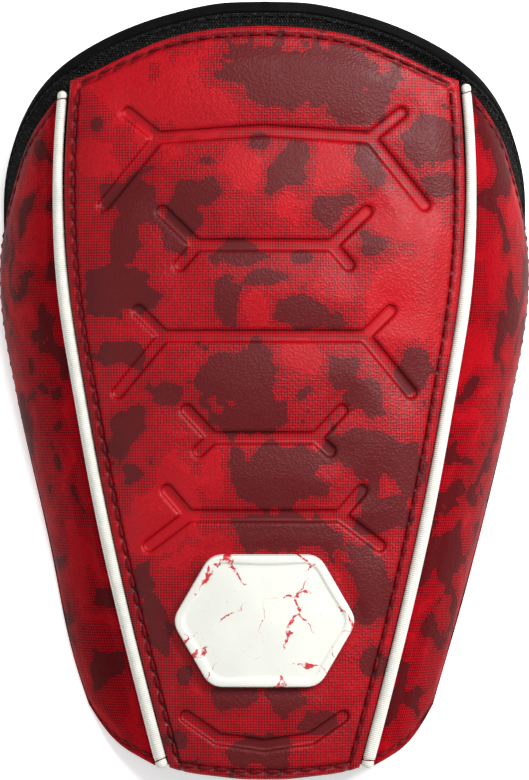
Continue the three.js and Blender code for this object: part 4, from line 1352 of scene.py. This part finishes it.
def strap_band(shape, name, centre, width, finish, thread_finish):
    """A woven elastic band, sewn inside both wings and lying on the table between them, with its box stitching."""
    sizes = shape.sizes
    rows = centre + width * (spread(60, 0.02, 4) - 0.5)

    def underside(y):
        above = lambda a: shape.above_table(shape.lining_point(a, y, sizes.gap))
        foot_place = float(crossing(above, np.array(1.0), np.array(REAR_OVERRUN)))
        wall = foot_place - 1
        foot = shape.lining_point(foot_place, y, sizes.gap)
        high = np.linspace(foot_place - sizes.strap_bend * wall, foot_place - sizes.strap_lap * wall, 26)
        sewn = shape.lining_point(high, y, sizes.gap)
        table = -shape.rear_depth(y)
        land = np.array([foot[0] - np.linalg.norm(sewn[0] - foot), y, table])
        knee = np.array([foot[0], y, table])
        t = np.linspace(0, 1, 22)[:, None]
        turn = bend(land, knee, sewn[0], t)
        flat = lerp(np.array([0, y, table]), land, np.linspace(0, 1, 26)[:, None])
        right = np.concatenate([flat, turn[1:], sewn[1:]])
        return np.concatenate([right[:0:-1] * MIRROR, right])

    under = np.stack([underside(y) for y in rows])
    along = np.array([0, math.cos(shape.lean), -math.sin(shape.lean)])
    up = unit(np.cross(np.gradient(under, axis=1), along))
    run = run_along(under)
    cross_run = (rows - rows[0])[:, None] * np.ones_like(run)
    to_edge = np.minimum(cross_run, width - cross_run)
    to_end = np.minimum(run, run[:, -1:] - run)
    edge_drop, edge_run, rib, rib_pitch = 0.6 * MM, 0.8 * MM, 0.05 * MM, 1.5 * MM
    round_off = rolled_edge(np.minimum(to_edge, to_end), edge_drop, edge_run)
    weave = rib * np.cos(2 * np.pi * cross_run / rib_pitch)
    front = shape.laid(under + up * (sizes.strap_thickness - round_off + weave)[..., None])
    back = shape.laid(under + up * (round_off * 0.6)[..., None])
    fabric = fabric_place(run / MM, cross_run / MM)
    piece = pad_object("band_" + name, front, back, finish, 2, {"fabric": fabric}, 60)
    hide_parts(name)
    # box stitching on the sewn end: a frame and its diagonal, which is sewn there and back
    low, high, near, far = 0.12, 0.88, front.shape[1] - 25, front.shape[1] - 3
    corners = [(low, near), (high, near), (high, far), (low, far), (low, near), (high, far), (low, near)]
    lines = []
    for (row_a, column_a), (row_b, column_b) in zip(corners, corners[1:]):
        t = np.linspace(0, 1, 24)
        j = np.round(lerp(row_a, row_b, t) * (len(rows) - 1)).astype(int)
        i = np.round(lerp(column_a, column_b, t)).astype(int)
        lines.append(even_spans(front[j, i], shape.laid_direction(up[j, i]), STRAP_PITCH))
    spans = joined_lines(lines)
    thread = stitches_object("stitching_" + name, *joined_lines([spans, mirrored(spans)]), STRAP_THREAD, thread_finish)
    return [piece, thread]


def strap_bands(shape, colours):
    sizes = shape.sizes
    finish = woven_elastic(colours)
    thread = sewing_thread("thread_strap", STRAP_BLACK)
    upper = shape.half_length - sizes.upper_strap_inset
    lower = sizes.lower_strap_inset - shape.half_length
    bands = strap_band(shape, "upper_strap", upper, sizes.upper_strap_width, finish, thread)
    return bands + strap_band(shape, "lower_strap", lower, sizes.lower_strap_width, finish, thread)


# Stage


def soft_light(name, place, target, size, energy):
    light = bpy.data.lights.new(name, "AREA")
    light.shape, light.size, light.energy = "DISK", size, energy
    lamp = bpy.data.objects.new(name, light)
    lamp.location = place
    lamp.rotation_mode = "QUATERNION"
    lamp.rotation_quaternion = (Vector(place) - Vector(target)).to_track_quat("Z", "Y")
    bpy.context.scene.collection.objects.link(lamp)


def set_stage(shape):
    scene = bpy.context.scene
    scene.view_settings.view_transform = "Standard"
    sides = ((-1, -1), (1, -1), (1, 1), (-1, 1))
    corners = [(x * FLOOR_HALF, y * FLOOR_HALF, FLOOR_HEIGHT) for x, y in sides]
    floor = mesh_object("floor", corners, [[0, 1, 2, 3]], pale_floor())
    floor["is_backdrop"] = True
    world = bpy.data.worlds.new("studio")
    world.use_nodes = True
    background = world.node_tree.nodes["Background"]
    background.inputs["Color"].default_value = (1.0, 1.0, 1.0, 1.0)
    background.inputs["Strength"].default_value = WORLD_STRENGTH
    scene.world = world
    for light in LIGHTS:
        soft_light(*light)
    face = np.array([0.0, -math.sin(shape.lean), math.cos(shape.lean)])
    up = np.array([0.0, math.cos(shape.lean), math.sin(shape.lean)])
    centre = shape.laid(np.array(CAMERA_AIM))
    lens_data = bpy.data.cameras.new("camera")
    lens_data.lens, lens_data.sensor_width = CAMERA_LENS, 36.0
    lens_data.clip_start, lens_data.clip_end = 0.05, 20.0
    camera = bpy.data.objects.new("camera", lens_data)
    turn = Matrix((Vector((1, 0, 0)), Vector(up), Vector(face))).transposed()
    camera.matrix_world = Matrix.Translation(Vector(centre + face * CAMERA_DISTANCE)) @ turn.to_4x4()
    scene.collection.objects.link(camera)
    scene.camera = camera


# Operators


def build(context, make):
    """Makes pieces by the sidebar's sizes and colours, and lets them ride on the guard."""
    scene = context.scene
    for piece in make(GuardShape(scene.guard_sizes), scene.guard_colours):
        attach(piece, "root")
    return {"FINISHED"}


class GUARD_OT_centre_cover(bpy.types.Operator):
    """Builds the centre panel's printed cover with its pressed flex channels"""

    bl_idname = "guard.centre_cover"
    bl_label = "Centre Cover"

    def execute(self, context):
        return build(context, centre_cover)


class GUARD_OT_wing_covers(bpy.types.Operator):
    """Builds the two printed side covers down to the table"""

    bl_idname = "guard.wing_covers"
    bl_label = "Wing Covers"

    def execute(self, context):
        return build(context, wing_covers)


class GUARD_OT_cover_stitches(bpy.types.Operator):
    """Sews the covers with separate arched stitches"""

    bl_idname = "guard.cover_stitches"
    bl_label = "Cover Stitching"

    def execute(self, context):
        return build(context, cover_stitches)


class GUARD_OT_seam_piping(bpy.types.Operator):
    """Lays the ribbed cord in both seams and ties its ends"""

    bl_idname = "guard.seam_piping"
    bl_label = "Seam Piping"

    def execute(self, context):
        return build(context, seam_piping)


class GUARD_OT_lining_pad(bpy.types.Operator):
    """Builds the knitted lining and its padding"""

    bl_idname = "guard.lining_pad"
    bl_label = "Lining"

    def execute(self, context):
        return build(context, lining_pad)


class GUARD_OT_rim_tape(bpy.types.Operator):
    """Rolls the binding tape over the elbow rim and sews it"""

    bl_idname = "guard.rim_tape"
    bl_label = "Rim Binding"

    def execute(self, context):
        return build(context, rim_tape)


class GUARD_OT_badge_plate(bpy.types.Operator):
    """Moulds the plain six-sided badge plate"""

    bl_idname = "guard.badge_plate"
    bl_label = "Badge Plate"

    def execute(self, context):
        return build(context, badge_plate)


class GUARD_OT_strap_bands(bpy.types.Operator):
    """Builds the two elastic straps and their box stitching"""

    bl_idname = "guard.strap_bands"
    bl_label = "Straps"

    def execute(self, context):
        return build(context, strap_bands)


class GUARD_OT_stage(bpy.types.Operator):
    """Sets the pale floor, the soft lights and the camera"""

    bl_idname = "guard.stage"
    bl_label = "Stage"

    def execute(self, context):
        set_stage(GuardShape(context.scene.guard_sizes))
        return {"FINISHED"}


OPERATORS = (
    GUARD_OT_centre_cover,
    GUARD_OT_wing_covers,
    GUARD_OT_cover_stitches,
    GUARD_OT_seam_piping,
    GUARD_OT_lining_pad,
    GUARD_OT_rim_tape,
    GUARD_OT_badge_plate,
    GUARD_OT_strap_bands,
    GUARD_OT_stage,
)


class GUARD_PT_builder(bpy.types.Panel):
    """Sizes, colours and the steps that build the guard"""

    bl_idname = "GUARD_PT_builder"
    bl_label = "Elbow Guard"
    bl_space_type = "VIEW_3D"
    bl_region_type = "UI"
    bl_category = "Elbow Guard"

    def draw(self, context):
        for group in (context.scene.guard_sizes, context.scene.guard_colours):
            box = self.layout.box()
            for name in group.__annotations__:
                box.prop(group, name)
        for operator in OPERATORS:
            self.layout.operator(operator.bl_idname)


CLASSES = (GuardSizes, GuardColours, *OPERATORS, GUARD_PT_builder)


def register():
    for item in CLASSES:
        bpy.utils.register_class(item)
    bpy.types.Scene.guard_sizes = bpy.props.PointerProperty(type=GuardSizes)
    bpy.types.Scene.guard_colours = bpy.props.PointerProperty(type=GuardColours)


def unregister():
    del bpy.types.Scene.guard_colours
    del bpy.types.Scene.guard_sizes
    for item in reversed(CLASSES):
        bpy.utils.unregister_class(item)


def main():
    register()
    for operator in OPERATORS:
        group, step = operator.bl_idname.split(".")
        getattr(getattr(bpy.ops, group), step)()
    sizes = {"cad_box": CAD_BOX, "visual_box": [list(corner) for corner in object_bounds()]}


if __name__ == "__main__":
    main()
